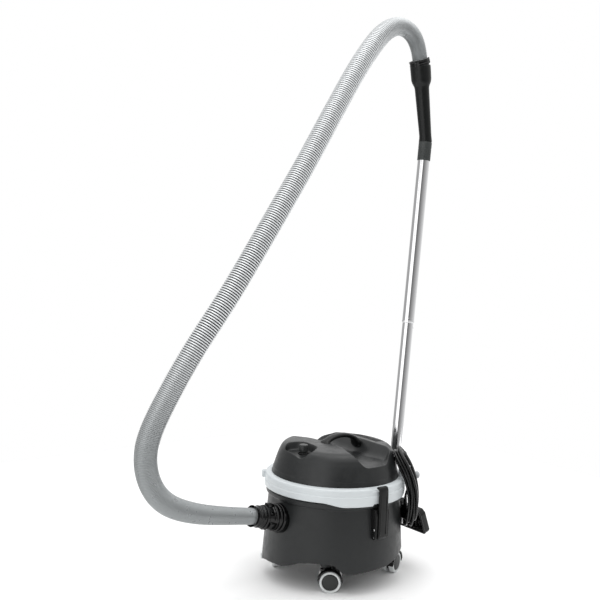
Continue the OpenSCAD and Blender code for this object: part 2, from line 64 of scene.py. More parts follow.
camera.data.lens = 56.16                                # millimetres
camera.data.sensor_width = 36
camera.data.clip_end = 60
bpy.context.scene.camera = camera


# ---------------------------------------------------------------- materials
def tree_of(name):
    m = bpy.data.materials.new(name)
    m.use_nodes = True
    return m, m.node_tree.nodes, m.node_tree.links


def noise_node(nodes, links, scale, detail=3.0, rough=0.5, stretch=None):
    """Noise in the object's own coordinates, scale in features per metre."""
    coord = nodes.new("ShaderNodeTexCoord")
    noise = nodes.new("ShaderNodeTexNoise")
    noise.inputs["Scale"].default_value = scale
    noise.inputs["Detail"].default_value = detail
    noise.inputs["Roughness"].default_value = rough
    if stretch:
        mapping = nodes.new("ShaderNodeMapping")
        mapping.inputs["Scale"].default_value = stretch
        links.new(coord.outputs["Object"], mapping.inputs["Vector"])
        links.new(mapping.outputs["Vector"], noise.inputs["Vector"])
    else:
        links.new(coord.outputs["Object"], noise.inputs["Vector"])
    return noise


def ramp(nodes, links, source, low, high, a=0.35, b=0.65):
    r = nodes.new("ShaderNodeValToRGB")
    r.color_ramp.elements[0].position = a
    r.color_ramp.elements[1].position = b
    r.color_ramp.elements[0].color = low
    r.color_ramp.elements[1].color = high
    links.new(source, r.inputs["Fac"])
    return r


def shade(name, colour, rough=0.4, vary=0.12, rough_vary=0.06, grain=900.0, grain_height=0.00004,
          metal=0.0, specular=0.5, broad=9.0, stretch=None, sheen=0.0):
    """A material with a slow change of tone, a change of gloss, and a fine moulded grain."""
    m, nodes, links = tree_of(name)
    p = nodes["Principled BSDF"]
    dark = tuple(c * (1 - vary) for c in colour) + (1,)
    light = tuple(min(1, c * (1 + vary)) for c in colour) + (1,)
    slow = noise_node(nodes, links, broad, 4, 0.6, stretch)
    links.new(ramp(nodes, links, slow.outputs["Fac"], dark, light).outputs["Color"], p.inputs["Base Color"])
    gloss = noise_node(nodes, links, broad * 6, 3, 0.6, stretch)
    lo, hi = rough - rough_vary, rough + rough_vary
    links.new(ramp(nodes, links, gloss.outputs["Fac"], (lo, lo, lo, 1), (hi, hi, hi, 1)).outputs["Color"],
              p.inputs["Roughness"])
    p.inputs["Metallic"].default_value = metal
    p.inputs["Specular IOR Level"].default_value = specular
    p.inputs["Sheen Weight"].default_value = sheen
    if grain_height:
        fine = noise_node(nodes, links, grain, 2, 0.5, stretch)
        bump = nodes.new("ShaderNodeBump")
        bump.inputs["Strength"].default_value = 1.0
        bump.inputs["Distance"].default_value = grain_height
        links.new(fine.outputs["Fac"], bump.inputs["Height"])
        links.new(bump.outputs["Normal"], p.inputs["Normal"])
    return m


M = {
    "charcoal": shade("charcoal_moulded", (0.0122, 0.0134, 0.0138), rough=0.4, vary=0.07, grain=1500,
                      grain_height=0.00006, specular=0.36),
    "cover": shade("charcoal_cover", (0.0122, 0.0134, 0.0138), rough=0.35, vary=0.07, grain=1500,
                   grain_height=0.00006, specular=0.46),
    "band": shade("pale_band", (0.6, 0.635, 0.65), rough=0.34, vary=0.02, grain=700, grain_height=0),
    "gloss": shade("black_gloss", (0.001, 0.0011, 0.0012), rough=0.09, rough_vary=0.03, vary=0.2, grain=300,
                   grain_height=0.00001, specular=0.36),
    "matt": shade("black_matt", (0.0035, 0.0038, 0.0038), rough=0.42, vary=0.15, grain=1500,
                  grain_height=0.00005, specular=0.24),
    "latch": shade("latch_black", (0.0045, 0.0049, 0.0048), rough=0.36, vary=0.12, grain=1300,
                   grain_height=0.00006, specular=0.27),
    "handle": shade("handle_black", (0.003, 0.0033, 0.0033), rough=0.3, vary=0.12, grain=1300,
                    grain_height=0.00003, specular=0.3),
    "button": shade("button_black", (0.032, 0.034, 0.034), rough=0.4, vary=0.08, grain=1200,
                    grain_height=0.00003, specular=0.45),
    "tool": shade("tool_black", (0.0032, 0.0035, 0.0035), rough=0.32, vary=0.15, grain=1400,
                  grain_height=0.00006, specular=0.3),
    "tool_rim": shade("tool_rim_black", (0.012, 0.0125, 0.0125), rough=0.34, vary=0.15, grain=1200,
                      grain_height=0.00005, specular=0.45),
    "rubber": shade("rubber", (0.01, 0.01, 0.011), rough=0.6, vary=0.2, grain=1800, grain_height=0.00005,
                    specular=0.3),
    "hub": shade("hub_grey", (0.02, 0.0215, 0.021), rough=0.42, vary=0.12, grain=1100, grain_height=0.00006,
                 specular=0.4),
    "ribbed": shade("cuff_grey", (0.042, 0.046, 0.045), rough=0.4, vary=0.12, grain=1200,
                    grain_height=0.00004, specular=0.4),
    "grip": shade("grip_black", (0.0048, 0.0056, 0.0054), rough=0.35, vary=0.12, grain=1400,
                  grain_height=0.00006, specular=0.32),
    "tyre": shade("tyre_grey", (0.66, 0.68, 0.68), rough=0.5, vary=0.05, grain=900, grain_height=0.00004),
    "steel": shade("tube_steel", (0.86, 0.86, 0.87), rough=0.09, vary=0.03, rough_vary=0.02, metal=1.0,
                   grain=260, grain_height=0.000004, stretch=(6, 6, 0.4)),
    "plain_steel": shade("zinc_steel", (0.62, 0.62, 0.63), rough=0.3, vary=0.08, metal=1.0, grain=800,
                         grain_height=0.00002),
    "copper": shade("wire_copper", (0.62, 0.29, 0.15), rough=0.35, vary=0.15, metal=1.0, grain=2600,
                    grain_height=0.0002),
    "alloy": shade("cast_alloy", (0.66, 0.66, 0.67), rough=0.34, vary=0.06, metal=1.0, grain=1500,
                   grain_height=0.00005),
    "cord": shade("cord_black", (0.0035, 0.0038, 0.0038), rough=0.26, vary=0.15, grain=1600,
                  grain_height=0.00003, specular=0.42),
    "knob": shade("knob_grey", (0.42, 0.44, 0.45), rough=0.42, vary=0.06, grain=1100, grain_height=0.00003),
    "paper": shade("bag_paper", (0.62, 0.57, 0.47), rough=0.85, vary=0.08, grain=500, grain_height=0.0003,
                   sheen=0.2),
    "card": shade("bag_card", (0.45, 0.36, 0.24), rough=0.8, vary=0.1, grain=700, grain_height=0.0001),
    "felt": shade("filter_felt", (0.75, 0.75, 0.72), rough=0.95, vary=0.05, grain=1500, grain_height=0.0003,
                  sheen=0.3),
    "foam": shade("foam", (0.012, 0.012, 0.012), rough=0.9, vary=0.3, grain=900, grain_height=0.0006),
    "bristle": shade("bristle", (0.012, 0.012, 0.012), rough=0.6, vary=0.4, grain=1500, grain_height=0.0004,
                     stretch=(1, 1, 0.1)),
}


def hose_material():
    m, nodes, links = tree_of("hose_silver")
    p = nodes["Principled BSDF"]
    groove_shade, spread = (nodes.new("ShaderNodeAttribute") for _ in range(2))
    groove_shade.attribute_name, spread.attribute_name = "groove_shade", "spread"
    # painted highlight: the opened ribs are painted lighter than the closed ends, standing in for light
    # catching their crests
    rib = ramp(nodes, links, spread.outputs["Fac"], (0.30, 0.315, 0.32, 1), (0.82, 0.84, 0.85, 1), 0.0, 1.0)
    cut = nodes.new("ShaderNodeMix")
    cut.data_type = "RGBA"
    links.new(groove_shade.outputs["Fac"], cut.inputs[0])
    links.new(rib.outputs["Color"], cut.inputs[6])
    # painted shade: the groove faces take this near-black colour, more as the ribs open
    cut.inputs[7].default_value = (0.006, 0.0065, 0.007, 1)
    links.new(cut.outputs[2], p.inputs["Base Color"])
    fine = noise_node(nodes, links, 60, 3)
    links.new(ramp(nodes, links, fine.outputs["Fac"], (0.27, 0.27, 0.27, 1),
                   (0.36, 0.36, 0.36, 1)).outputs["Color"], p.inputs["Roughness"])
    p.inputs["Metallic"].default_value = 0.45
    return m


M["hose"] = hose_material()


# ---------------------------------------------------------------- mesh helpers
def piece(name, verts, faces, material, body, slot, replaces=(), angle=None):
    """A smooth-shaded mesh given in millimetres. Edges sharper than angle, in degrees, stay sharp."""
    mesh = bpy.data.meshes.new(name)
    mesh.from_pydata([tuple(float(c) * MM for c in v) for v in verts], [],
                     [tuple(int(i) for i in f) for f in faces])
    mesh.validate()
    mesh.materials.append(material)
    obj = bpy.data.objects.new(name, mesh)
    bpy.context.scene.collection.objects.link(obj)
    tidy_mesh(mesh)
    for poly in mesh.polygons:
        poly.use_smooth = True
    if angle is not None:
        mesh.set_sharp_from_angle(angle=math.radians(angle))
    if body:
        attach(obj, body)
    if replaces:
        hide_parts(*replaces)
    return obj


def tidy_mesh(mesh):
    bm = bmesh.new()
    bm.from_mesh(mesh)
    bmesh.ops.remove_doubles(bm, verts=bm.verts, dist=1e-6)
    bmesh.ops.recalc_face_normals(bm, faces=bm.faces)
    bm.to_mesh(mesh)
    bm.free()


def wrap_faces(rows, cols, close_rows=False):
    """Faces of a grid whose columns wrap round. close_rows joins the last row to the first too."""
    faces = []
    for i in range(rows if close_rows else rows - 1):
        j = (i + 1) % rows
        for k in range(cols):
            m = (k + 1) % cols
            faces.append((i * cols + k, i * cols + m, j * cols + m, j * cols + k))
    return faces


def end_faces(rows, cols):
    """The two faces that close a tube of rings."""
    return [tuple(range(cols - 1, -1, -1)), tuple((rows - 1) * cols + k for k in range(cols))]


def tube_faces(rows, cols):
    return wrap_faces(rows, cols) + end_faces(rows, cols)


def lathe_data(profile, n=96):
    """A closed profile of (radius, height) turned about Z."""
    verts = []
    for r, z in profile:
        for k in range(n):
            a = 2 * math.pi * k / n
            verts.append((r * math.cos(a), r * math.sin(a), z))
    return verts, wrap_faces(len(profile), n, True)


def round_angles(n):
    return np.linspace(0, 2 * math.pi, n, endpoint=False)


def ring_verts(rows, ang):
    """Points of rings about Z, each ring given as its radius and height along the angles."""
    verts = []
    for r, z in rows:
        verts += list(np.stack([r * np.cos(ang), r * np.sin(ang), z * np.ones(len(ang))], 1))
    return verts


def distances(line):
    """Distance along a line at each of its points."""
    return np.r_[0, np.cumsum(np.linalg.norm(np.diff(line, axis=0), axis=1))]


def rounded(profile, radius, steps=4):
    """A closed polygon with each corner rounded, radius given as one number or one per corner."""
    out = []
    n = len(profile)
    for i, p in enumerate(profile):
        r = radius[i] if isinstance(radius, (list, tuple)) else radius
        p = np.array(p, float)
        a, b = np.array(profile[i - 1], float) - p, np.array(profile[(i + 1) % n], float) - p
        la, lb = np.linalg.norm(a), np.linalg.norm(b)
        if r <= 0 or la < 1e-9 or lb < 1e-9:
            out.append(tuple(p))
            continue
        a, b = a / la, b / lb
        cosine = max(-0.999999, min(0.999999, float(a @ b)))
        half = math.acos(cosine) / 2
        if half > math.radians(86):
            out.append(tuple(p))
            continue
        cut = min(r / math.tan(half), la * 0.45, lb * 0.45)
        start, end = p + a * cut, p + b * cut
        for k in range(steps + 1):
            t = k / steps
            out.append(tuple((1 - t) ** 2 * start + 2 * t * (1 - t) * p + t * t * end))
    return out


def place(verts, matrix):
    return [tuple(matrix @ Vector(v)) for v in verts]


def moved(data, matrix):
    return place(data[0], matrix), data[1]


def merge(parts):
    verts, faces = [], []
    for v, f in parts:
        base = len(verts)
        verts += list(v)
        faces += [tuple(i + base for i in face) for face in f]
    return verts, faces


def prism_data(outline, z0, z1, round_edge=1.0, steps=3):
    """An outline (counter-clockwise) raised from z0 to z1, its top and bottom edges rounded."""
    pts = np.array(outline, float)
    e1, e2 = pts - np.roll(pts, 1, 0), np.roll(pts, -1, 0) - pts
    n1 = np.stack([e1[:, 1], -e1[:, 0]], 1)
    n2 = np.stack([e2[:, 1], -e2[:, 0]], 1)
    n1 /= np.maximum(np.linalg.norm(n1, axis=1), 1e-9)[:, None]
    n2 /= np.maximum(np.linalg.norm(n2, axis=1), 1e-9)[:, None]
    nn = n1 + n2
    nn /= np.maximum(np.linalg.norm(nn, axis=1), 1e-9)[:, None]
    miter = 1 / np.maximum(0.5, (nn * n1).sum(1))
    normal = nn * miter[:, None]
    rings = []
    r = min(round_edge, abs(z1 - z0) / 2 * 0.95)
    for k in range(steps + 1):
        a = math.pi / 2 * k / steps
        rings.append((r * (1 - math.sin(a)), z0 + r * (1 - math.cos(a))))
    for k in range(steps, -1, -1):
        a = math.pi / 2 * k / steps
        rings.append((r * (1 - math.sin(a)), z1 - r * (1 - math.cos(a))))
    verts = []
    for inset, z in rings:
        q = pts - normal * inset
        verts += [(x, y, z) for x, y in q]
    return verts, tube_faces(len(rings), len(pts))


def box_data(x0, x1, y0, y1, z0, z1, r=1.0, corner=2.0):
    outline = rounded([(x0, y0), (x1, y0), (x1, y1), (x0, y1)], corner, 4)
    return prism_data(outline, z0, z1, r)


def frame_matrix(origin, rx=0.0, rz=0.0):
    """A frame at origin, tilted about X and then turned about Z, in degrees."""
    return Matrix.Translation(origin) @ about_z(rz) @ Matrix.Rotation(math.radians(rx), 4, "X")


def about_z(degrees):
    return Matrix.Rotation(math.radians(degrees), 4, "Z")


def spline(points, step):
    """A smooth curve through the points, resampled every step."""
    p = np.array(points, float)
    p = np.vstack([2 * p[0] - p[1], p, 2 * p[-1] - p[-2]])
    out = []
    for i in range(1, len(p) - 2):
        for t in np.linspace(0, 1, 24, endpoint=False):
            a, b, c, d = p[i - 1], p[i], p[i + 1], p[i + 2]
            out.append(0.5 * (2 * b + (c - a) * t + (2 * a - 5 * b + 4 * c - d) * t * t
                              + (3 * b - a - 3 * c + d) * t ** 3))
    out.append(p[-2])
    return resample(np.array(out), step)


def resample(line, step):
    s = distances(line)
    n = max(2, int(round(s[-1] / step)) + 1)
    t = np.linspace(0, s[-1], n)
    return np.stack([np.interp(t, s, line[:, k]) for k in range(3)], 1)


def frames_along(line):
    """Tangent and two normals at each point, turning as little as possible."""
    t = np.gradient(line, axis=0)
    t /= np.linalg.norm(t, axis=1)[:, None]
    a = np.cross(t[0], (0.0, 0.0, 1.0))
    if np.linalg.norm(a) < 1e-3:
        a = np.cross(t[0], (1.0, 0.0, 0.0))
    a /= np.linalg.norm(a)
    first = []
    for v in t:
        a = a - v * (a @ v)
        a /= np.linalg.norm(a)
        first.append(a)
    first = np.array(first)
    return t, first, np.cross(t, first)


def tube_data(line, radii, n=32):
    _, a, b = frames_along(line)
    ang = round_angles(n)
    ring = np.cos(ang)[None, :, None] * a[:, None, :] + np.sin(ang)[None, :, None] * b[:, None, :]
    verts = (line[:, None, :] + ring * np.array(radii)[:, None, None]).reshape(-1, 3)
    return verts, tube_faces(len(line), n)


# ---------------------------------------------------------------- hose and cords
HOSE_ROUTE = [(0, -256, 197), (0, -275, 201), (2, -322, 209), (5, -380, 220), (8, -440, 233),
              (13, -496, 252), (16, -532, 268), (19, -563, 291), (23, -590, 326), (27, -608, 371),
              (31, -612.5, 420), (35, -603.5, 458), (39, -586, 500), (43, -565, 541), (47, -541, 586),
              (51, -514, 632), (54, -483, 680), (57, -450, 727), (59, -416, 775), (60, -383, 824),
              (60, -350, 874), (59, -317, 924), (58, -282, 975), (55, -247, 1027), (52, -210, 1080),
              (48, -174, 1133), (43, -137, 1188), (38, -100, 1244), (32, -61, 1300), (26, -21, 1359),
              (20, 23, 1418), (14, 70, 1474), (10, 95, 1499), (8, 120, 1518), (5, 145, 1532),
              (4, 170, 1538), (3, 195, 1536), (2, 218, 1527), (1, 236, 1512), (0, 249, 1490),
              (0, 256, 1462), (0, 261, 1428), ]
LEAD_ROUTE = [(43.5, 177, 309), (44.6, 182, 313.3), (50.1, 190.9, 322.6), (60.8, 195, 330.5),
              (74, 193.2, 335), (87, 186, 334), (97.5, 177, 327.5), (104.5, 169.5, 316),
              (109.5, 164.5, 303), ]
PLUG_ROUTE = [(121.5, 169, 321), (128, 175, 303), (130.5, 181.5, 286), (127, 188, 273), (119, 192.5, 261),
              (109, 194, 250), (100, 192.5, 239), (94.5, 190, 228), (92, 188.3, 217), (92, 188, 206), ]


def smooth_line(line, rounds):
    line = line.copy()
    for _ in range(rounds):
        line[1:-1] = line[1:-1] * 0.5 + (line[:-2] + line[2:]) * 0.25
    return line


def smoothstep(a, b, x):
    t = np.clip((np.asarray(x, float) - a) / (b - a), 0, 1)
    return t * t * (3 - 2 * t)


# One rib: how far along its pitch, and how high between the groove and the crest
RIB_SHAPE = [(0.05, 0.5), (0.13, 0.85), (0.24, 1.0), (0.38, 1.0), (0.49, 0.85), (0.58, 0.5), (0.63, 0.0),
             (1.0, 0.0)]


RIB_PITCH, RIB_STRETCH = 3.7, 2.7                       # closed ribs, and what the weight adds
CUFF_RADIUS, THIN_RADIUS, SWELL = 21.3, 21.8, 6.2       # in the cuff, at the ends, and added along the hose
GROOVE, GROOVE_STRETCH = 0.9, 2.0                       # depth of a closed groove, and what opening adds
GROOVE_SHADE_CLOSED = 0.16                                      # how dark the painted shade in a closed groove is


def make_hose():
    line = smooth_line(spline(HOSE_ROUTE, 2.0), 400)
    s = distances(line)
    total = s[-1]

    def open_at(x):
        """How far the ribs are drawn apart: closed near the cuffs, opened by the hose's weight between."""
        return smoothstep(440, 820, x) * (1 - smoothstep(total - 330, total - 60, x))

    rib_s = [14.0]
    while rib_s[-1] < total - 10:
        rib_s.append(rib_s[-1] + RIB_PITCH + RIB_STRETCH * float(open_at(rib_s[-1])))
    rib_s[-1] = total
    pos, rad, groove_shade, spread = [0.0, rib_s[0]], [CUFF_RADIUS] * 2, [0.0, 0.0], [0.0, 0.0]
    for a, b in zip(rib_s[:-1], rib_s[1:]):
        mid = (a + b) / 2
        o = float(open_at(mid))
        ends = min(float(smoothstep(0, 330, mid)), float(smoothstep(0, 300, total - mid)))
        outer = THIN_RADIUS + SWELL * ends
        inner = outer - (GROOVE + GROOVE_STRETCH * o)
        for f, level in RIB_SHAPE:
            pos.append(a + (b - a) * f)
            rad.append(inner + (outer - inner) * level)
            # groove faces get painted shade: a little when closed, fully when the ribs are open
            groove_shade.append(0.0 if level else GROOVE_SHADE_CLOSED + (1 - GROOVE_SHADE_CLOSED) * o)
            # spread also sets the painted highlight on the opened ribs
            spread.append(o)
    pos, rad = np.array(pos), np.array(rad)
    pts = np.stack([np.interp(pos, s, line[:, k]) for k in range(3)], 1)
    n = 40
    verts, faces = tube_data(pts, rad, n)
    obj = piece("hose_skin", verts, faces, M["hose"], None, "hose")
    for name, values in (("groove_shade", groove_shade), ("spread", spread)):
        layer = obj.data.attributes.new(name, "FLOAT", "POINT")
        layer.data.foreach_set("value", np.repeat(np.array(values, float), n))
    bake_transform(obj)
    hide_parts("hose")


CORD_RADIUS = 0.0036                                # metres
HANK_TURN = math.radians(46)                        # the hank hangs on this bearing behind the head
HANK_MID = (-20.0, 205.0)                           # centre of its bow: distance outwards, and height
HANK_HALVES = (22.9, 30.2, 37.4)                    # half the width of a turn, one per layer
# one row of turns each: radius from the bow's centre, and the angles of its top and foot in degrees
HANK_ROWS = ((229.5, 28.0, -4.2), (236.9, 30.5, -1.6), (244.3, 29.5, -3.8), (251.7, 31.5, 0.2))


def hank_point(radius, angle, s):
    """A point of the hank: radius from the bow's centre, angle round it, s across the bundle."""
    r = HANK_MID[0] + radius * math.cos(angle)
    z = HANK_MID[1] + radius * math.sin(angle)
    return (r * math.sin(HANK_TURN) + s * math.cos(HANK_TURN),
            r * math.cos(HANK_TURN) - s * math.sin(HANK_TURN), z)


def hank_line():
    """The turns on the hook: each goes down the side near the gland, round its foot, and up again."""
    turns = []
    for row, (radius, top, foot) in enumerate(HANK_ROWS):
        for half in (HANK_HALVES[::-1] if row % 2 == 0 else HANK_HALVES):
            turns.append((half, radius, math.radians(top), math.radians(foot)))
    line = []
    for index, (half, radius, top, foot) in enumerate(turns):
        wide, out, high, _ = turns[min(index + 1, len(turns) - 1)]
        for t in np.linspace(0, 1, 10, endpoint=False):
            line.append(hank_point(radius + 1.6 * math.sin(math.pi * t), top + (foot - top) * t, -half))
        for t in np.linspace(0, 1, 12, endpoint=False):
            a = math.pi * t
            line.append(hank_point(radius - 2.5 * math.sin(a), foot - half / radius * math.sin(a),
                                   -half * math.cos(a)))
        for t in np.linspace(0, 1, 10, endpoint=False):
            e = float(smoothstep(0, 1, t))
            line.append(hank_point(radius + (out - radius) * e + 1.6 * math.sin(math.pi * t),
                                   foot + (high - foot) * t, half + (wide - half) * e))
        for t in np.linspace(0, 1, 12, endpoint=False):
            a = math.pi * t
            line.append(hank_point(out, high + wide / out * math.sin(a), wide * math.cos(a)))
    return line


def make_cord():
    full = np.array([np.array(p, float) for p in LEAD_ROUTE + hank_line()[2:] + PLUG_ROUTE])
    fine = smooth_line(spline(full, 3.0), 8)
    length = float(distances(fine)[-1]) * MM
    curve = bpy.data.curves.new("power_cord_run", "CURVE")
    curve.dimensions = "3D"
    points = resample(fine, 4.0) * MM
    run = curve.splines.new("POLY")
    run.points.add(len(points) - 1)
    for q, p in zip(run.points, points):
        q.co = (*p, 1)
    curve.bevel_depth = CORD_RADIUS
    curve.bevel_resolution = 3
    curve.use_fill_caps = True
    curve.materials.append(M["cord"])
    obj = bpy.data.objects.new("power_cord_run", curve)
    bpy.context.scene.collection.objects.link(obj)
    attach(obj, "head")
    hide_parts("power_cord", "cord_hank", "plug_lead")
    return obj, length


make_hose()
cord, cord_length = make_cord()


# ---------------------------------------------------------------- head cover
# Outline of the cover as (radius, height)
LID = [(176, 286), (174.6, 293), (173, 300), (169, 315), (165, 329), (162.6, 337), (160, 344),
       (157.6, 350.5), (154.5, 356), (151, 360.6), (147, 364), (141.5, 366.6), (135, 368), (120, 369.4),
       (100, 370.5), (60, 371.4), (0, 372)]


def soft_min(a, b, k):
    h = np.clip(0.5 + 0.5 * (b - a) / k, 0, 1)
    return b * (1 - h) + a * h - k * h * (1 - h)


def soft_max(a, b, k):
    return -soft_min(-a, -b, k)


def capsule(x, y, ax, ay, bx, by, r):
    dx, dy = bx - ax, by - ay
    t = np.clip(((x - ax) * dx + (y - ay) * dy) / (dx * dx + dy * dy), 0, 1)
    return np.hypot(x - ax - dx * t, y - ay - dy * t) - r


def trough_height(x, y):
    ax = np.abs(x)
    floor = 337 - 4 * smoothstep(115, 160, ax)
    front = 338 - 1.74 * (y + 14 + 23 * smoothstep(50, 135, ax))
    rear = 336 + 1.375 * (y - 62 - 7 * smoothstep(60, 110, ax) + 16 * smoothstep(122, 150, ax))
    return soft_max(soft_max(floor, front, 26), rear, 14)


def dish_height(x, y):
    d = soft_min(capsule(x, y, -25, -117, 4, -120, 29), capsule(x, y, 0, -126, 30, -137, 15), 12)
    floor = 349 + 0.08 * (y + 100)
    slope = 3.2 - 1.5 * smoothstep(5, 40, x)
    return soft_max(floor, floor + slope * d, 5)


def grille_height(x, y, z):
    d = np.maximum(np.abs(x) - 54, np.abs(y - 115) - 15.5)
    return z - 2.2 * (1 - smoothstep(-0.8, 0.8, d))


def cover_surface(x, y, z):
    z = soft_min(z, trough_height(x, y), 2.4)
    z = soft_min(z, dish_height(x, y), 1.8)
    return grille_height(x, y, z)


def make_cover():
    n = 900
    prof = np.array(LID, float)
    seg = distances(prof)
    t = np.linspace(0, seg[-1], 190)
    rr, zz = np.interp(t, seg, prof[:, 0]), np.interp(t, seg, prof[:, 1])
    for _ in range(3):
        rr[1:-1] = (rr[:-2] + 2 * rr[1:-1] + rr[2:]) / 4
        zz[1:-1] = (zz[:-2] + 2 * zz[1:-1] + zz[2:]) / 4
    rr, zz = np.r_[173.4, 173.4, 175.6, rr], np.r_[300, 285.4, 285.4, zz]
    rr[-1] = 0.4
    ang = round_angles(n)
    x = rr[:, None] * np.cos(ang)[None, :]
    lift = np.clip((zz - 286) / 86, 0, 1)
    y = rr[:, None] * np.sin(ang)[None, :] + 4 * lift[:, None]
    z = np.repeat(zz[:, None], n, 1)
    z[3:] = cover_surface(x[3:], y[3:], z[3:])
    verts = np.stack([x, y, z], 2).reshape(-1, 3)
    faces = wrap_faces(len(rr), n) + end_faces(len(rr), n)[1:]
    piece("cover_shell", verts, faces, M["cover"], "head", "charcoal", ["head_cover"])


make_cover()


# ---------------------------------------------------------------- band
def band_low(phi):
    """Height of the band's lower edge, phi in degrees from the front."""
    p = np.abs((phi + 180) % 360 - 180)
    p = np.where(p > 90, 180 - p, p)
    z = 248.5 - 9.5 * smoothstep(40, 60, p)
    return z + 5.0 * smoothstep(81.5, 83.5, p)


BAND_RADIUS, BAND_TOP = 195.5, 263.6                    # of its upright face


def make_band():
    n = 1080
    ang = round_angles(n)
    phi = np.degrees(ang) + 90
    low = band_low(phi)
    side = np.abs(np.abs(((phi + 180) % 360) - 180) - 90)
    notch = 1 - smoothstep(8.0, 8.8, side)
    rows = [(r, low + dz) for r, dz in ((191.4, 0.0), (193.6, 0.0), (194.9, 0.6), (195.4, 1.8))]
    for f in (0.25, 0.5, 0.75):
        rows.append((BAND_RADIUS, low + 1.8 + (BAND_TOP - low - 1.8) * f))
    rows += [(BAND_RADIUS, BAND_TOP), (195.2, 264.8), (194.4, 265.6), (193.6, 266.0), (193.4, 267.0),
             (193.4, 270.0)]
    for r, z, deep in ((193.3, 276.0, 0.15), (193.0, 279.0, 0.6), (192.4, 281.4, 1.0), (191.0, 283.4, 1.0),
                       (189.0, 284.6, 1.0), (184.0, 285.4, 0.6), (180.0, 286.0, 0.0), (177.0, 286.2, 0.0)):
        rows.append((r - 3.5 * notch * deep, z - 5.5 * notch * deep))
    rows += [(176.4, 285.8), (176.2, 285.0), (172.5, 284.4), (172.5, 281.0), (187.0, 279.0), (188.0, 254.4),
             (186.4, 254.0), (186.2, 249.8), (190.6, 249.6)]
    piece("band_ring", ring_verts(rows, ang), wrap_faces(len(rows), n, True), M["band"], "head",
          "pale_band", ["head_band"], angle=50)


make_band()


def make_ear(name, phi, r0, r1, z0, z1, half, material, body, slot):
    """A small rounded ear standing out from the wall at phi degrees from the front."""
    data = box_data(-half, half, r0, r1, z0, z1, 2.5, min(half, r1 - r0) * 0.8)
    turn = about_z(phi + 180)
    piece(name, *moved(data, turn), material, body, slot, angle=50)


make_ear("band_ear", -40, 188, 204, 262, 282, 9, M["band"], "head", "pale_band")

# ---------------------------------------------------------------- tub
# Each caster's stem, x and y, and its heading in degrees
CASTERS = {"fr": (102, -106, 50), "fl": (-102, -106, 150), "rr": (92, 134, 114), "rl": (-92, 134, 62)}
# Height of the skirt's edge, by degrees from the front. The two rear quarters mirror each other.
SKIRT_REAR = [(68, 61), (78, 64), (89, 67), (100, 69), (109, 75), (115, 79), (124, 85), (132, 87),
              (140, 87), (146, 84), (151, 72), (155, 61), (162, 57), (171, 55), (180, 54)]
SKIRT_FRONT = [(-64, 70), (-58, 86), (-50, 88), (-42, 87), (-38, 79), (-35.5, 67), (-34, 47), (-32.5, 36),
               (-31, 38), (-28, 42.5), (-24, 46), (-20, 49), (-16, 51.5), (-8, 55), (0, 57.5), (7, 60),
               (14, 66), (24, 80), (32, 85), (41, 87), (46, 88), (51, 86), (55, 78), (59, 64), (62, 61)]
SKIRT = [(-angle, z) for angle, z in reversed(SKIRT_REAR)] + SKIRT_FRONT + SKIRT_REAR


WALL_FOOT, WALL_HEAD = 54, 226                          # heights between which the wall draws in
WALL_RADIUS, WALL_TAPER = 195.2, 12.2


def make_tub():
    n = 1080
    ang = round_angles(n)
    p = (np.degrees(ang) + 90 + 180) % 360 - 180
    edge = np.interp(p, [a for a, _ in SKIRT], [z for _, z in SKIRT])
    for _ in range(12):
        edge = (np.roll(edge, 1) + 2 * edge + np.roll(edge, -1)) / 4

    def wall(z):
        up = np.clip((z - WALL_FOOT) / (WALL_HEAD - WALL_FOOT), 0, 1.05)
        return WALL_RADIUS - WALL_TAPER * up ** 1.1

    rows = [(wall(edge) - 3.4, edge + 0.3), (wall(edge) - 2.6, edge - 0.2), (wall(edge) - 0.9, edge - 0.2),
            (wall(edge) - 0.1, edge + 0.8)]
    for f in np.linspace(0.02, 1, 46):
        z = edge + 0.8 + (WALL_HEAD - edge) * f
        rows.append((wall(z), z))
    rows += [(183.2, 228.6), (184.2, 230.2), (186.0, 231.0), (188.4, 231.6), (189.6, 233.0), (190.0, 235.0),
             (190.0, 243.0), (189.4, 245.2), (187.6, 246.0), (181.0, 246.0), (179.6, 245.2), (179.4, 238.0),
             (179.4, 200), (187, 93), (2, 92), (2, 88), (186.4, 88)]
    rows.append((wall(edge + 6) - 3.6, np.minimum(edge + 6, 87.6)))
    socket = lathe_data(rounded([(5.6, 67), (13, 67), (14.5, 88.5), (5.6, 88.5)], [0.6, 1.5, 0, 0]), 48)
    boss = [moved(socket, Matrix.Translation((x, y, 0))) for x, y, _ in CASTERS.values()]
    data = merge([(ring_verts(rows, ang), wrap_faces(len(rows), n, True))] + boss)
    piece("tub_body", *data, M["charcoal"], "tub", "charcoal", ["tub_shell"], angle=55)


make_tub()
make_ear("skirt_tab", -32, 191, 199.5, 37, 52, 5, M["tyre"], "tub", "pale_band")

# ---------------------------------------------------------------- frames of the moving groups
INLET = frame_matrix((0, -186, 182), rx=78)
WAND = frame_matrix((0, 221, 205), rx=-4.07)
GRIP = WAND @ Matrix.Translation((0, 0, 1027)) @ Matrix.Rotation(math.radians(13.57), 4, "X")
TOOL = frame_matrix((0, 212, 141), rx=-68)
ALONG_X = Matrix.Rotation(math.radians(90), 4, "Y")
ALONG_Y = Matrix.Rotation(math.radians(-90), 4, "X")
HALF_TURN = ALONG_X @ ALONG_X
SIDE_ON = Matrix(((1, 0, 0, 0), (0, 0, 1, 0), (0, 1, 0, 0), (0, 0, 0, 1)))


def flipped(data, side):
    return [(side * x, y, z) for x, y, z in data[0]], data[1]


def side_prism(outline, y0, y1, edge=1.0):
    """An outline drawn in X and Z, raised along Y."""
    return moved(prism_data(outline, y0, y1, edge), SIDE_ON)


def turned(profile, matrix=Matrix(), corner=0.6, n=96):
    """A closed profile of (radius, height) with eased corners, turned about the matrix's Z axis."""
    return moved(lathe_data(rounded(profile, corner, 3), n), matrix)


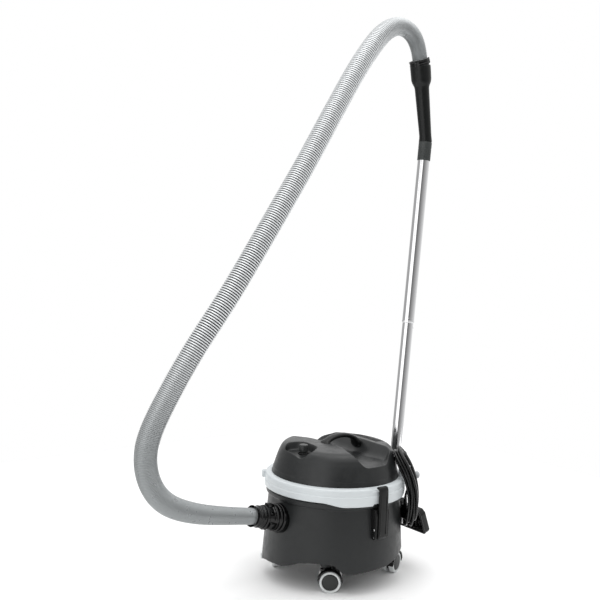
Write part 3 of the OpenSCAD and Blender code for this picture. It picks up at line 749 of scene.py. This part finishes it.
def sweep_data(path, profile, n=56):
    """Rings round a path. The profile lists (distance along it, radius), and may turn back inside."""
    line = resample(np.array(path, float), 1.0)
    s = distances(line)
    _, a, b = frames_along(line)
    verts = []
    for d, r in profile:
        centre, u, v = (np.array([np.interp(d, s, q[:, k]) for k in range(3)]) for q in (line, a, b))
        for k in range(n):
            angle = 2 * math.pi * k / n
            verts.append(tuple(centre + r * (math.cos(angle) * u + math.sin(angle) * v)))
    return verts, tube_faces(len(profile), n)


# ---------------------------------------------------------------- hose inlet, bayonet and cuff
def make_inlet():
    flange = turned([(27.4, -12), (38.4, -12), (39.2, 8.5), (38.2, 12.4), (36.4, 13.6), (34.9, 12.3),
                     (32.0, 11.6), (30.6, 13.5), (28.6, 14.0), (27.4, 13.2)], INLET)
    piece("inlet_plate", *flange, M["gloss"], "tub", "black_matt", ["inlet_flange"], angle=40)
    parts = [turned([(22.2, -22), (26.8, -22), (26.8, 14.6), (36.2, 14.6), (37.2, 15.8), (37.2, 20.4),
                     (35.4, 21.6), (34.6, 22.6), (34.6, 28.5), (35.4, 29.5), (35.2, 31.6), (33.2, 33.0),
                     (32.4, 34.4), (32.4, 38.0), (30.8, 40.4), (30.4, 54.0), (31.6, 56.0), (31.4, 60.0),
                     (29.0, 61.2), (22.2, 61.2)], INLET)]
    for turn in (0, 120, 240):
        lug = box_data(-9.5, 9.5, 25, 37, 33.5, 53, 1.6, 3.0)
        parts.append(moved(lug, INLET @ about_z(turn)))
    for turn in range(60, 360, 120):
        rib = box_data(-2.0, 2.0, 26, 33.6, 40, 56, 0.8, 1.2)
        parts.append(moved(rib, INLET @ about_z(turn)))
    piece("bayonet_ring", *merge(parts), M["gloss"], "hose_end", "black_gloss", ["hose_bayonet"], angle=40)
    cuff = turned([(22.3, 61.4), (27.2, 61.4), (28.8, 62.6), (29.5, 64.0), (29.5, 67.4), (28.4, 69.0),
                   (27.0, 70.4), (27.0, 72.0), (28.4, 73.4), (29.2, 74.6), (29.2, 77.4), (28.2, 79.0),
                   (26.6, 80.4), (25.9, 83.0), (25.9, 87.0), (26.8, 90.4), (28.4, 93.6), (28.6, 95.0),
                   (27.8, 95.2), (25.4, 91.0), (24.6, 86.0), (23.8, 66.0), (22.3, 65.0)], INLET, corner=0.5)
    piece("hose_sleeve", *cuff, M["gloss"], "hose_end", "black_gloss", ["hose_cuff"], angle=50)


# ---------------------------------------------------------------- wand, grip and collar
def make_wand():
    lower = turned([(14.9, 2), (15.7, 1.2), (16.0, 2.2), (16.0, 500), (15.3, 505), (15.3, 537),
                    (14.9, 537.5), (14.5, 536), (14.5, 3)], WAND, corner=0.4)
    button = turned([(0.05, 15.2), (4.0, 15.2), (4.0, 16.4), (3.0, 17.2), (0.05, 17.5)],
                    WAND @ Matrix.Translation((0, 0, 478)) @ about_z(-40)
                    @ ALONG_Y, n=32)
    piece("lower_tube", *merge([lower, button]), M["steel"], "wand", "tube_steel", ["wand_lower"], angle=40)
    upper = turned([(16.25, 493), (17.6, 492.6), (18.3, 494.2), (18.3, 496.4), (17.5, 498.6), (17.5, 505),
                    (17.8, 506.5), (17.5, 508), (17.5, 992), (16.4, 993), (16.1, 990), (16.1, 495)], WAND,
                   corner=0.4)
    piece("upper_tube", *upper, M["steel"], "wand", "tube_steel", ["wand_upper"], angle=40)


def make_grip():
    def wand_point(w):
        return np.array(WAND @ Vector((0, 0, w)))

    def grip_point(g):
        return np.array(GRIP @ Vector((0, 0, g)))

    bend = [(1 - t) ** 2 * wand_point(1013) + 2 * t * (1 - t) * wand_point(1027) + t * t * grip_point(14)
            for t in np.linspace(0, 1, 12)]
    path = [wand_point(1000)] + bend + [grip_point(g) for g in range(20, 214, 6)] + [grip_point(214)]
    start = 27.0          # distance along the path at the bend
    profile = [(1.0, 16.0), (12.0, 16.2), (20.6, 16.4), (20.8, 18.4), (21.6, 19.0), (24.0, 19.0)]
    profile += [(start + g, r) for g, r in ((3, 18.2), (12, 17.6), (30, 17.9), (60, 18.7), (90, 19.5),
                                            (120, 20.2), (144, 20.8), (150, 21.3), (154, 22.6), (158, 24.6),
                                            (163, 26.8), (168, 28.2), (174, 28.9), (190, 29.3), (204, 29.6),
                                            (209, 29.5), (211, 28.9), (211.6, 28.0), (211.2, 27.0),
                                            (208, 26.7), (198, 26.6))]
    piece("hand_grip", *sweep_data(path, profile), M["grip"], "wand", "black_matt", ["grip"], angle=50)
    rows = rounded([(16.6, 966.5), (18.2, 966.5), (18.9, 967.6), (18.9, 999), (18.5, 1000.6),
                    (19.1, 1002.4), (19.1, 1019), (18.6, 1020.2), (16.6, 1020.2)], 0.4, 3)
    n = 240
    verts = []
    for r, z in rows:
        for k in range(n):
            a = 2 * math.pi * k / n
            ribbed = 0.45 if r > 18.7 and z < 1000 and (k // 5) % 2 else 0.0
            verts.append(((r - ribbed) * math.cos(a), (r - ribbed) * math.sin(a), z))
    piece("bleed_sleeve", place(verts, WAND), wrap_faces(len(rows), n, True), M["ribbed"], "bleed",
          "dark_grey", ["bleed_ring"], angle=30)
    lean = GRIP @ Matrix.Translation((0, 0, 208)) @ Matrix.Rotation(math.radians(11), 4, "X")
    collar = turned([(23.4, -9), (25.6, -9), (26.0, 2.6), (28.4, 4.0), (29.4, 5.2), (29.2, 9), (28.5, 10),
                     (28.6, 16), (29.6, 17.6), (29.4, 19.6), (28.4, 20.4), (26.8, 19.4), (25.8, 13),
                     (24.4, 3), (23.4, 2)], lean)
    tab = moved(box_data(-4, 4, 26.5, 30.2, 6, 21.6, 1.0, 1.4),
                lean @ about_z(-52))
    piece("swivel_collar", *merge([collar, tab]), M["gloss"], "swivel", "black_gloss", ["grip_swivel"],
          angle=45)


# ---------------------------------------------------------------- casters
TRAIL, AXLE = 14.5, 29.0                                # axle's distance behind the stem, and its height


def hood_data():
    """The hood about its axle: a crowned band over both wheels, thinning to a lip at each end."""
    section = [(-21.9, 30.4), (-22.4, 31.2), (-22.2, 32.6), (-20.8, 34.0), (-17.5, 35.0), (-10, 35.5),
               (0, 35.6), (10, 35.5), (17.5, 35.0), (20.8, 34.0), (22.2, 32.6), (22.4, 31.2), (21.9, 30.4),
               (20, 30.2), (0, 30.3), (-20, 30.2)]
    inner, rows = 30.3, 61
    verts = []
    for i in range(rows):
        deg = -8 + 196 * i / (rows - 1)
        end = min(deg + 8, 188 - deg)
        thick = 0.30 + 0.70 * float(smoothstep(0, 26, end))
        narrow = 1 - 0.10 * (1 - float(smoothstep(0, 18, end)))
        a = math.radians(deg)
        for y, r in section:
            q = inner + (r - inner) * thick
            verts.append((q * math.cos(a), y * narrow, q * math.sin(a)))
    return verts, tube_faces(rows, len(section))


def make_casters():
    arc = [(31 * math.cos(math.radians(a)), 31 * math.sin(math.radians(a))) for a in range(-4, 185, 8)]
    web = side_prism(arc, -2.2, 2.2, 0.5)
    hub_boss = turned([(3.2, -3.6), (9, -3.6), (9.6, 0), (9, 3.6), (3.2, 3.6)], ALONG_Y, n=40)
    for key, (x, y, heading) in CASTERS.items():
        swivel = frame_matrix((x, y, 0), rz=heading)
        axle = swivel @ Matrix.Translation((TRAIL, 0, AXLE))
        neck = turned([(0.05, 50), (12.5, 50), (13.4, 57), (12.6, 61.4), (10.2, 63.6), (9.8, 66.2),
                       (0.05, 66.2)], swivel, corner=1.0, n=56)
        brow = moved(box_data(-13, 12, -8, 8, 53, 62.5, 3.0, 6.0), swivel)
        hood = merge([moved(hood_data(), axle), moved(web, axle), moved(hub_boss, axle), neck, brow])
        piece("hood_" + key, *hood, M["gloss"], "caster_" + key, "black_gloss", ["caster_hood_" + key],
              angle=45)
        stem = turned([(0.05, 60), (5.4, 60), (5.4, 66.3), (8.4, 66.4), (8.4, 67.0), (5.4, 67.0), (5.4, 82),
                       (4.4, 83), (0.05, 83)], swivel, corner=0.2, n=40)
        piece("stem_" + key, *stem, M["plain_steel"], "caster_" + key, "motor_steel", angle=40)
        tyre = [(22.2, 4.3), (27.2, 4.3), (28.6, 5.2), (29.0, 7.2), (29.0, 9.6), (28.5, 10.1), (28.5, 10.7),
                (29.0, 11.2), (29.0, 15.2), (28.7, 17.4), (27.6, 19.0), (25.8, 19.9), (24.0, 19.9),
                (22.9, 19.2), (22.2, 18.2)]
        hub = [(3.1, 4.4), (8, 4.4), (8, 9), (18, 9), (18, 4.6), (22.1, 4.6), (22.1, 18.0), (21.4, 18.9),
               (20.7, 18.3), (20.0, 18.9), (18.5, 19.6), (11, 20.3), (0.05, 20.6), (0.05, 2.2), (3.1, 2.2)]
        tyres, hubs = [], []
        for side in (-1, 1):
            mirror = axle @ ALONG_Y @ Matrix.Diagonal((1, 1, side, 1))
            tyres.append(moved(lathe_data(rounded(tyre, 0.5, 2), 96), mirror))
            hubs.append(moved(lathe_data(rounded(hub, [0.3] * 12 + [0, 0, 0.2], 2), 96), mirror))
        piece("tyre_" + key, *merge(tyres), M["tyre"], "wheel_" + key, "tyre", ["caster_tyres_" + key],
              angle=45)
        piece("hub_" + key, *merge(hubs), M["hub"], "wheel_" + key, "dark_grey", ["caster_hubs_" + key],
              angle=35)


# ---------------------------------------------------------------- latches and their brackets
def make_latches():
    strap = rounded([(200.5, 150.0), (203.0, 151.8), (205.4, 156.5), (206.4, 176), (206.6, 232),
                     (206.3, 266), (205.4, 281), (202.4, 287.6), (197.5, 289.4), (192.2, 288.8),
                     (190.3, 286.4), (190.5, 283.4), (193.2, 282.6), (196.8, 282.2), (199.2, 279.0),
                     (199.7, 262), (199.4, 176), (196.5, 164), (192.2, 161.0), (189.4, 156.4),
                     (191.6, 151.4)], 2.0, 3)
    ear = rounded([(182.5, 229), (182.5, 158), (188.5, 149.4), (196, 148.4), (200.6, 153), (202.2, 166),
                   (202.6, 214), (199.8, 226), (194.5, 229.4)], 3.0, 4)
    for side, name in ((1, "right"), (-1, "left")):
        body = "latch_" + name[0]
        parts = [side_prism(strap, -14.6, 14.6, 1.6)]
        rail = rounded([(205.6, 160), (207.4, 164), (207.6, 250), (207.0, 266), (205.6, 268)], 1.0, 2)
        for y in (-11.6, 8.4):
            parts.append(side_prism(rail, y, y + 3.2, 0.7))
        piece("latch_strap_" + name, *flipped(merge(parts), side), M["latch"], body, "black_matt",
              ["latch_" + name], angle=40)
        ears = [side_prism(ear, y, y + 7.2, 1.2) for y in (-22.8, 15.6)]
        piece("latch_ears_" + name, *flipped(merge(ears), side), M["matt"], "tub", "black_matt",
              ["latch_bracket_" + name], angle=40)
        heads = []
        for face in (-1, 1):
            outward = ALONG_Y if face > 0 else ALONG_Y @ HALF_TURN
            at = Matrix.Translation((196, face * 22.6, 176)) @ outward
            head = [(0.05, -0.6), (2.8, -0.6), (2.8, 0.5), (2.0, 1.3), (0.05, 1.6)]
            heads.append(turned(head, at, 0.3, 32))
        piece("latch_screws_" + name, *flipped(merge(heads), side), M["plain_steel"], "tub", "motor_steel",
              angle=40)


# ---------------------------------------------------------------- carry handle, switch, hook, gland and plug
def make_handle():
    rows, n = 81, 36
    mid_y, mid_z, long, tall = 15, 355.5, 60.0, 31.5    # the arch's ellipse
    verts = []
    for i in range(rows):
        deg = -6 + 192 * i / (rows - 1)
        foot = 1 - float(smoothstep(14, 46, min(deg, 180 - deg)))
        half_w, half_t = 11.6 + 7.5 * foot, 6.4 + 3.0 * foot
        a = math.radians(deg)
        out = Vector((0, math.cos(a) / long, math.sin(a) / tall)).normalized()
        for k in range(n):
            b = 2 * math.pi * k / n
            u = half_w * math.copysign(abs(math.cos(b)) ** 0.72, math.cos(b))
            v = half_t * math.copysign(abs(math.sin(b)) ** 0.85, math.sin(b))
            verts.append((u, mid_y + long * math.cos(a) + v * out.y, mid_z + tall * math.sin(a) + v * out.z))
    piece("carry_arch", verts, tube_faces(rows, n), M["handle"], "head", "black_matt", ["carry_handle"],
          angle=50)


def make_switch():
    at = Matrix.Translation((-5, -110, 0))
    button = turned([(0.05, 339), (7.6, 339), (7.6, 351.6), (10.8, 352.4), (11.8, 353.8), (11.8, 370.8),
                     (11.2, 372.2), (9.8, 372.9), (0.05, 373.0)], at, n=72)
    piece("button_cap", *button, M["button"], "button", "black_matt", ["switch_button"], angle=35)
    sleeve = turned([(12.0, 332), (14.8, 332), (14.8, 349.4), (13.8, 350.8), (12.0, 350.4)], at, n=72)
    bottom = turned([(0.05, 330), (15.6, 330), (15.6, 334), (0.05, 334)], at, n=72)
    piece("switch_cup", *merge([sleeve, bottom]), M["matt"], "head", "black_matt", ["switch_housing"],
          angle=40)


def make_hook():
    peg = frame_matrix((0, 0, 269), rz=-23) @ ALONG_Y
    knob = turned([(0.05, 190), (7.2, 190), (7.0, 194), (5.0, 197), (4.6, 232), (5.4, 237), (8.6, 240.2),
                   (10.2, 243), (10.2, 247.5), (8.4, 250.4), (4.6, 251.6), (0.05, 251.8)], peg, corner=1.2,
                  n=64)
    bracket = moved(box_data(-7, 7, 176.5, 186.5, 284, 312, 2.0, 2.5), Matrix.Rotation(-HANK_TURN, 4, "Z"))
    arm_at = Matrix.Rotation(-HANK_TURN, 4, "Z") @ frame_matrix((0, 180, 309), rx=-82)
    arm = turned([(0.05, 0), (5.4, 0), (4.9, 4), (4.9, 20), (6.4, 23), (6.2, 27), (4.0, 28.6),
                  (0.05, 28.8)], arm_at, corner=1.0, n=48)
    piece("cord_pegs", *merge([knob, bracket, arm]), M["knob"], "head", "knob", ["cord_hook"], angle=45)


def make_gland():
    at = frame_matrix((40.5, 163, 297), rx=-50, rz=-12)
    profile = [(3.9, -6), (7.0, -6), (7.0, -1), (9.0, 0), (9.2, 2.4), (7.2, 4.2)]
    for k in range(6):
        z, r = 6 + 3.9 * k, 6.8 - 0.33 * k
        profile += [(r - 0.9, z), (r, z + 0.8), (r - 0.1, z + 2.3), (r - 1.0, z + 3.0)]
    profile += [(4.3, 30.0), (3.9, 30.0)]
    piece("strain_relief", *turned(profile, at, 0.25, 56), M["rubber"], "head", "black_matt",
          ["cord_gland"], angle=60)


def make_plug():
    x, y, top = 92, 188, 212
    at = Matrix.Translation((x, y, 0))
    outline = rounded([(-18.4, -8.3), (18.4, -8.3), (18.4, 8.3), (-18.4, 8.3)], 7.5, 8)
    body = moved(prism_data(outline, top - 64, top - 33, 3.5, 5), at)
    waist = moved(prism_data(rounded([(-13, -7.4), (13, -7.4), (13, 7.4), (-13, 7.4)], 6, 8), top - 40,
                             top - 24, 5, 5), at)
    profile = [(3.7, top - 34), (6.9, top - 34)]
    for k in range(6):
        z, r = top - 27 + 3.8 * k, 6.8 - 0.38 * k
        profile += [(r - 0.9, z), (r, z + 0.9), (r - 0.1, z + 2.2), (r - 1.0, z + 3.0)]
    profile += [(4.2, top - 1), (3.7, top - 1)]
    relief = turned(profile, at, 0.25, 48)
    shell = piece("plug_shell", *merge([body, waist, relief]), M["gloss"], "head", "black_gloss",
                  ["mains_plug"], angle=50)
    pins = []
    for dx in (-9.5, 9.5):
        pins.append(turned([(0.05, top - 62), (2.4, top - 62), (2.4, top - 80.6), (1.5, top - 82.7),
                            (0.05, top - 83)], Matrix.Translation((x + dx, y, 0)), 0.4, 32))
    pin_piece = piece("plug_pins", *merge(pins), M["plain_steel"], "head", "motor_steel", angle=40)
    return [shell, pin_piece]


# ---------------------------------------------------------------- dust bag, filter and seals
def make_bag():
    n, rows = 360, 46
    profile = [(0.5, 95), (60, 94.4), (92, 95), (106, 99), (112, 108), (114.5, 128), (115, 150), (112, 172),
               (104, 190), (88, 201), (60, 207), (30, 209.5), (0.5, 210)]
    prof = np.array(profile, float)
    seg = distances(prof)
    t = np.linspace(0, seg[-1], rows)
    rr, zz = np.interp(t, seg, prof[:, 0]), np.interp(t, seg, prof[:, 1])
    ang = round_angles(n)
    verts = []
    for r, z in zip(rr, zz):
        puff = 0.55 + 0.45 * math.sin(z * 0.11)
        fold = (1.6 * np.abs(np.sin(ang * 9)) ** 3 * puff + 0.7 * np.sin(ang * 31 + z * 0.07)
                + 1.1 * np.sin(ang * 4 + z * 0.05))
        q = r - fold * min(1.0, r / 60)
        height = z + 0.6 * np.sin(ang * 7 + r * 0.1)
        verts += list(np.stack([q * np.cos(ang), 12 + q * np.sin(ang), height], 1))
    bag = piece("bag_full", verts, tube_faces(rows, n), M["paper"], "tub", "paper", ["dust_bag"], angle=70)
    collar = turned([(27.2, -46), (40, -46), (40, -42.6), (27.2, -42.6)], INLET, 0.5)
    piece("bag_collar", *collar, M["card"], "tub", "paper", angle=40)


def make_filter():
    n = 720
    ang = round_angles(n)
    wave = 2.6 * np.abs(((ang * 60 / (2 * math.pi)) % 1) * 2 - 1)
    rows = [(84, 0, 223.5), (91.5, 1, 223.5), (91.5, 1, 246), (91.5, 0, 247), (92, 0, 249.8),
            (84, 0, 249.8), (84, 0, 226), (2, 0, 226), (2, 0, 223.5)]
    verts = ring_verts([(r - w * wave, z) for r, w, z in rows], ang)
    piece("pleated_filter", verts, wrap_faces(len(rows), n, True), M["felt"], "head", "filter",
          ["motor_filter"], angle=30)


# ---------------------------------------------------------------- floor tool
def tool_outline(w, d, corner=9.0):
    return rounded([(-w / 2, -d / 2 + 12), (-w / 2 + 10, -d / 2), (w / 2 - 10, -d / 2),
                    (w / 2, -d / 2 + 12), (w / 2, d / 2), (-w / 2, d / 2)], corner, 6)


def tray_data(outline, z0, z1, rim, floor, edge):
    """An outline raised from z0 to z1 and hollow below: inside its rim the underside lies at floor."""
    pts = np.array(outline, float)
    e1, e2 = pts - np.roll(pts, 1, 0), np.roll(pts, -1, 0) - pts
    nn = np.stack([e1[:, 1], -e1[:, 0]], 1) / np.linalg.norm(e1, axis=1)[:, None]
    nn = nn + np.stack([e2[:, 1], -e2[:, 0]], 1) / np.linalg.norm(e2, axis=1)[:, None]
    nn /= np.linalg.norm(nn, axis=1)[:, None]
    rings = [(rim + 1.6, floor), (rim + 0.5, floor - 0.5), (rim, floor - 1.6), (rim, z0 + 0.9),
             (rim - 0.3, z0 + 0.3), (rim - 0.9, z0), (0.9, z0), (0.3, z0 + 0.3), (0, z0 + 0.9),
             (0, (z0 + z1 - edge) / 2)]
    for k in range(6):
        a = math.pi / 2 * k / 5
        rings.append((edge * (1 - math.cos(a)), z1 - edge * (1 - math.sin(a))))
    verts = []
    for inset, z in rings:
        q = pts - nn * inset
        verts += [(x, y, z) for x, y in q]
    return verts, tube_faces(len(rings), len(pts))


NECK_AXIS = (-26.3, 17.7)                               # the neck's pivot on the tool, y and z


def make_tool():
    shell = [tray_data(tool_outline(280, 74), 3.0, 24, 5.0, 11, 7.5)]
    for s in (-1, 1):
        cheek = rounded([(-43, 12), (-43, 22), (-37, 33), (-26, 35.4), (-14, 33), (-4, 24), (2, 15), (2, 8),
                         (-38, 8)], 4.0, 4)
        block = prism_data(cheek, 0, 13.4, 2.0, 4)
        turn = Matrix(((0, 0, s, s * 28.2), (1, 0, 0, 0), (0, 1, 0, 0), (0, 0, 0, 1)))
        shell.append(moved(block, turn))
        shell.append(moved(turned([(0.05, 0), (6.4, 0), (6.4, 1.6), (4.6, 2.6), (0.05, 2.9)], corner=0.4,
                                  n=48), Matrix.Translation((s * 41.6, *NECK_AXIS))
                           @ (ALONG_X if s > 0 else ALONG_X @ ALONG_Y @ ALONG_Y)))
    shell.append(box_data(-41, 41, -6, 11, 19, 29, 3.5, 5.0))
    for x in (-118, -78, 78, 118):
        shell.append(box_data(x - 1.2, x + 1.2, -31, 31, 6, 11.4, 0.4, 0.6))
    piece("tool_shell", *moved(merge(shell), TOOL), M["tool"], "tool", "black_matt", ["tool_body"],
          angle=40)
    sole = [tray_data(tool_outline(281, 75), 0.0, 3.4, 6.4, 3.0, 0.6)]
    mouth = rounded([(-62, 3.5), (62, 3.5), (62, 23.5), (-62, 23.5)], 6.0, 5)
    sole.append(tray_data(mouth, 0.8, 10.6, 2.2, 9.4, 0.6))
    for y in (-3.4, 23.6):
        slot = rounded([(-124, y), (124, y), (124, y + 7.8), (-124, y + 7.8)], 2.6, 4)
        sole.append(tray_data(slot, 1.4, 10.8, 1.3, 10.0, 0.4))
    for x in (-104, -40, 40, 104):
        sole.append(box_data(x - 1.0, x + 1.0, -31, 31, 4, 11, 0.4, 0.5))
    rims = merge(sole[1:])
    # the rim is a frame: its raised plate is left out, so the recess above stays open
    frame_verts, frame_faces = sole[0]
    keep = [f for f in frame_faces if len(f) == 4]
    n = len(tool_outline(281, 75))
    closing = [(15 * n + k, 15 * n + (k + 1) % n, (k + 1) % n, k) for k in range(n)]
    piece("tool_rim", *moved(merge([(frame_verts, keep + closing), rims]), TOOL), M["tool_rim"], "tool",
          "black_matt", ["tool_sole"], angle=40)
    tufts = []
    for y in (0.5, 27.5):
        tufts.append(box_data(-121, 121, y - 1.6, y + 1.6, 7.2, 9.8, 0.5, 0.8))
        for k in range(48):
            x = -118.2 + 5.03 * k
            lean = 0.5 * math.sin(k * 2.1 + y)
            low = [(x + lean + 2.1 * math.cos(a), y + 1.7 * math.sin(a), 1.0 + 0.3 * math.sin(k * 1.3 + a))
                   for a in round_angles(8)]
            high = [(x + 1.3 * math.cos(a), y + 1.1 * math.sin(a), 7.4) for a in round_angles(8)]
            tufts.append((low + high, tube_faces(2, 8)))
    piece("brush_strips", *moved(merge(tufts), TOOL), M["bristle"], "brushes", "bristle", ["tool_brushes"],
          angle=50)
    pedal = [box_data(-24, 24, 17, 35, 21.0, 28.2, 2.4, 4.0)]
    for k in range(4):
        pedal.append(box_data(-19, 19, 19.4 + 3.8 * k, 21.2 + 3.8 * k, 27.4, 29.2, 0.6, 0.8))
    pedal.append(moved(turned([(0.05, -26.8), (1.5, -26.8), (1.5, -24.4), (3.3, -24.4), (3.3, 24.4),
                               (1.5, 24.4), (1.5, 26.8), (0.05, 26.8)], corner=0.3, n=32),
                       Matrix.Translation((0, 26, 20)) @ ALONG_X))
    piece("rocker_pedal", *moved(merge(pedal), TOOL), M["matt"], "pedal", "black_matt", ["tool_pedal"],
          angle=40)
    knuckle = TOOL @ Matrix.Translation((0, *NECK_AXIS)) @ ALONG_X
    neck = [turned([(0.05, -34), (3.9, -34), (3.9, -26), (13.6, -26), (14.8, -24.6), (14.8, -10),
                    (14.2, -9), (14.2, 9), (14.8, 10), (14.8, 24.6), (13.6, 26), (3.9, 26), (3.9, 34),
                    (0.05, 34)], knuckle, 0.6, 72), turned([(12.6, -25), (16.4, -24), (18.9, -16),
                                                            (19.9, -6), (19.9, 3.4), (23.4, 4.4),
                                                            (24.4, 5.4), (24.4, 8.8), (23.4, 9.8),
                                                            (20.3, 10.8), (19.9, 14), (19.7, 38),
                                                            (18.8, 41.2), (16.4, 42), (16.1, 41), (16.1, 0),
                                                            (12.6, 0)], WAND, 0.8, 72),
            box_data(-9.8, 9.8, 191.3, 194.1, 185.2, 206.6, 1.0, 1.2),
            box_data(-9.8, 9.8, 191.8, 206, 203, 206.8, 1.2, 1.5)]
    for k in range(12):
        rib = box_data(-1.1, 1.1, 19.0, 20.9, 14, 36, 0.6, 0.8)
        neck.append(moved(rib, WAND @ about_z(30 * k)))
    piece("tool_elbow", *merge(neck), M["tool"], "wand", "black_matt", ["tool_neck"], angle=40)


make_inlet()
make_wand()
make_grip()
make_casters()
make_latches()
make_handle()
make_switch()
make_hook()
make_gland()
plug_pieces = make_plug()
make_bag()
make_filter()
make_tool()

# ---------------------------------------------------------------- CAD nodes that stay, with their materials
KEEP = {"inlet_seal": "rubber", "inlet_elbow": "charcoal", "latch_pins": "plain_steel",
        "parking_pocket": "matt", "rim_seal": "rubber", "motor_deck": "charcoal",
        "motor_mount_ring": "rubber", "motor_housing": "plain_steel", "motor_stator": "copper",
        "motor_bearings": "plain_steel", "motor_screws": "plain_steel", "exhaust_grille": "matt",
        "exhaust_foam": "foam", "rotor_shaft": "plain_steel", "fan_impeller": "alloy", "armature": "copper",
        }
for node, key in KEEP.items():
    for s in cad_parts[node].material_slots:
        s.material = M[key]

# ---------------------------------------------------------------- floor and light
FLOOR_HALF = 1.6                                        # metres
floor_mesh = bpy.data.meshes.new("floor")
corners = [(x * FLOOR_HALF, y * FLOOR_HALF, 0) for x, y in ((-1, -1), (1, -1), (1, 1), (-1, 1))]
floor_mesh.from_pydata(corners, [], [(0, 1, 2, 3)])
floor = bpy.data.objects.new("floor", floor_mesh)
bpy.context.scene.collection.objects.link(floor)
floor_mesh.materials.append(shade("studio_floor", (0.95, 0.95, 0.95), rough=0.7, vary=0.005, grain_height=0,
                                  specular=0.1))

# Soft boxes round the studio as (bearing from the camera's side in degrees, brightness)
SOFT_BOXES = [(-180, 1.05), (-160, 0.9), (-138, 0.42), (-98, 0.40), (-72, 0.42), (-62, 1.5), (-12, 1.45),
              (-6, 0.12), (14, 0.12), (20, 1.4), (60, 1.35), (70, 0.16), (104, 0.20), (118, 0.85),
              (150, 1.0), (179, 1.05)]


def make_studio():
    world = bpy.data.worlds.new("studio")
    world.use_nodes = True
    nodes, links = world.node_tree.nodes, world.node_tree.links
    coord = nodes.new("ShaderNodeTexCoord")
    turn = nodes.new("ShaderNodeMapping")
    turn.inputs["Rotation"].default_value = (0, 0, math.radians(90) - AZ)
    around = nodes.new("ShaderNodeTexGradient")
    around.gradient_type = "RADIAL"
    links.new(coord.outputs["Generated"], turn.inputs["Vector"])
    links.new(turn.outputs["Vector"], around.inputs["Vector"])
    boxes = nodes.new("ShaderNodeValToRGB")
    stops = boxes.color_ramp.elements
    while len(stops) > 1:
        stops.remove(stops[-1])
    for index, (bearing, level) in enumerate(SOFT_BOXES):
        stop = stops[0] if index == 0 else stops.new(0.5)
        stop.position = bearing / 360 + 0.5
        stop.color = (level / 2, level / 2, level / 2, 1)
    links.new(around.outputs["Fac"], boxes.inputs["Fac"])
    up = nodes.new("ShaderNodeSeparateXYZ")
    links.new(coord.outputs["Generated"], up.inputs["Vector"])
    height = nodes.new("ShaderNodeMapRange")
    height.interpolation_type = "SMOOTHSTEP"
    height.inputs["From Min"].default_value = 0.30
    height.inputs["From Max"].default_value = 0.72
    links.new(up.outputs["Z"], height.inputs["Value"])
    blend = nodes.new("ShaderNodeMix")
    blend.data_type = "RGBA"
    links.new(height.outputs["Result"], blend.inputs[0])
    links.new(boxes.outputs["Color"], blend.inputs[6])
    blend.inputs[7].default_value = (0.62, 0.62, 0.62, 1)
    soft = nodes["Background"]
    soft.inputs["Strength"].default_value = 2.0
    links.new(blend.outputs[2], soft.inputs["Color"])
    white = nodes.new("ShaderNodeBackground")
    white.inputs["Color"].default_value = (1, 1, 1, 1)
    seen = nodes.new("ShaderNodeLightPath")
    pick = nodes.new("ShaderNodeMixShader")
    links.new(seen.outputs["Is Camera Ray"], pick.inputs["Fac"])
    links.new(soft.outputs["Background"], pick.inputs[1])
    links.new(white.outputs["Background"], pick.inputs[2])
    links.new(pick.outputs["Shader"], nodes["World Output"].inputs["Surface"])
    bpy.context.scene.world = world


def area(name, at, target, size, power):
    light = bpy.data.lights.new(name, "AREA")
    light.shape = "RECTANGLE"
    light.size, light.size_y = size
    light.energy = power
    obj = bpy.data.objects.new(name, light)
    bpy.context.scene.collection.objects.link(obj)
    obj.location = at
    obj.rotation_mode = "QUATERNION"
    obj.rotation_quaternion = (Vector(target) - Vector(at)).to_track_quat("-Z", "Y")


make_studio()
area("top_box", (0.3, -0.2, 3.6), (0, 0, 0), (3.0, 3.0), 45)
bpy.context.scene.view_settings.view_transform = "Standard"
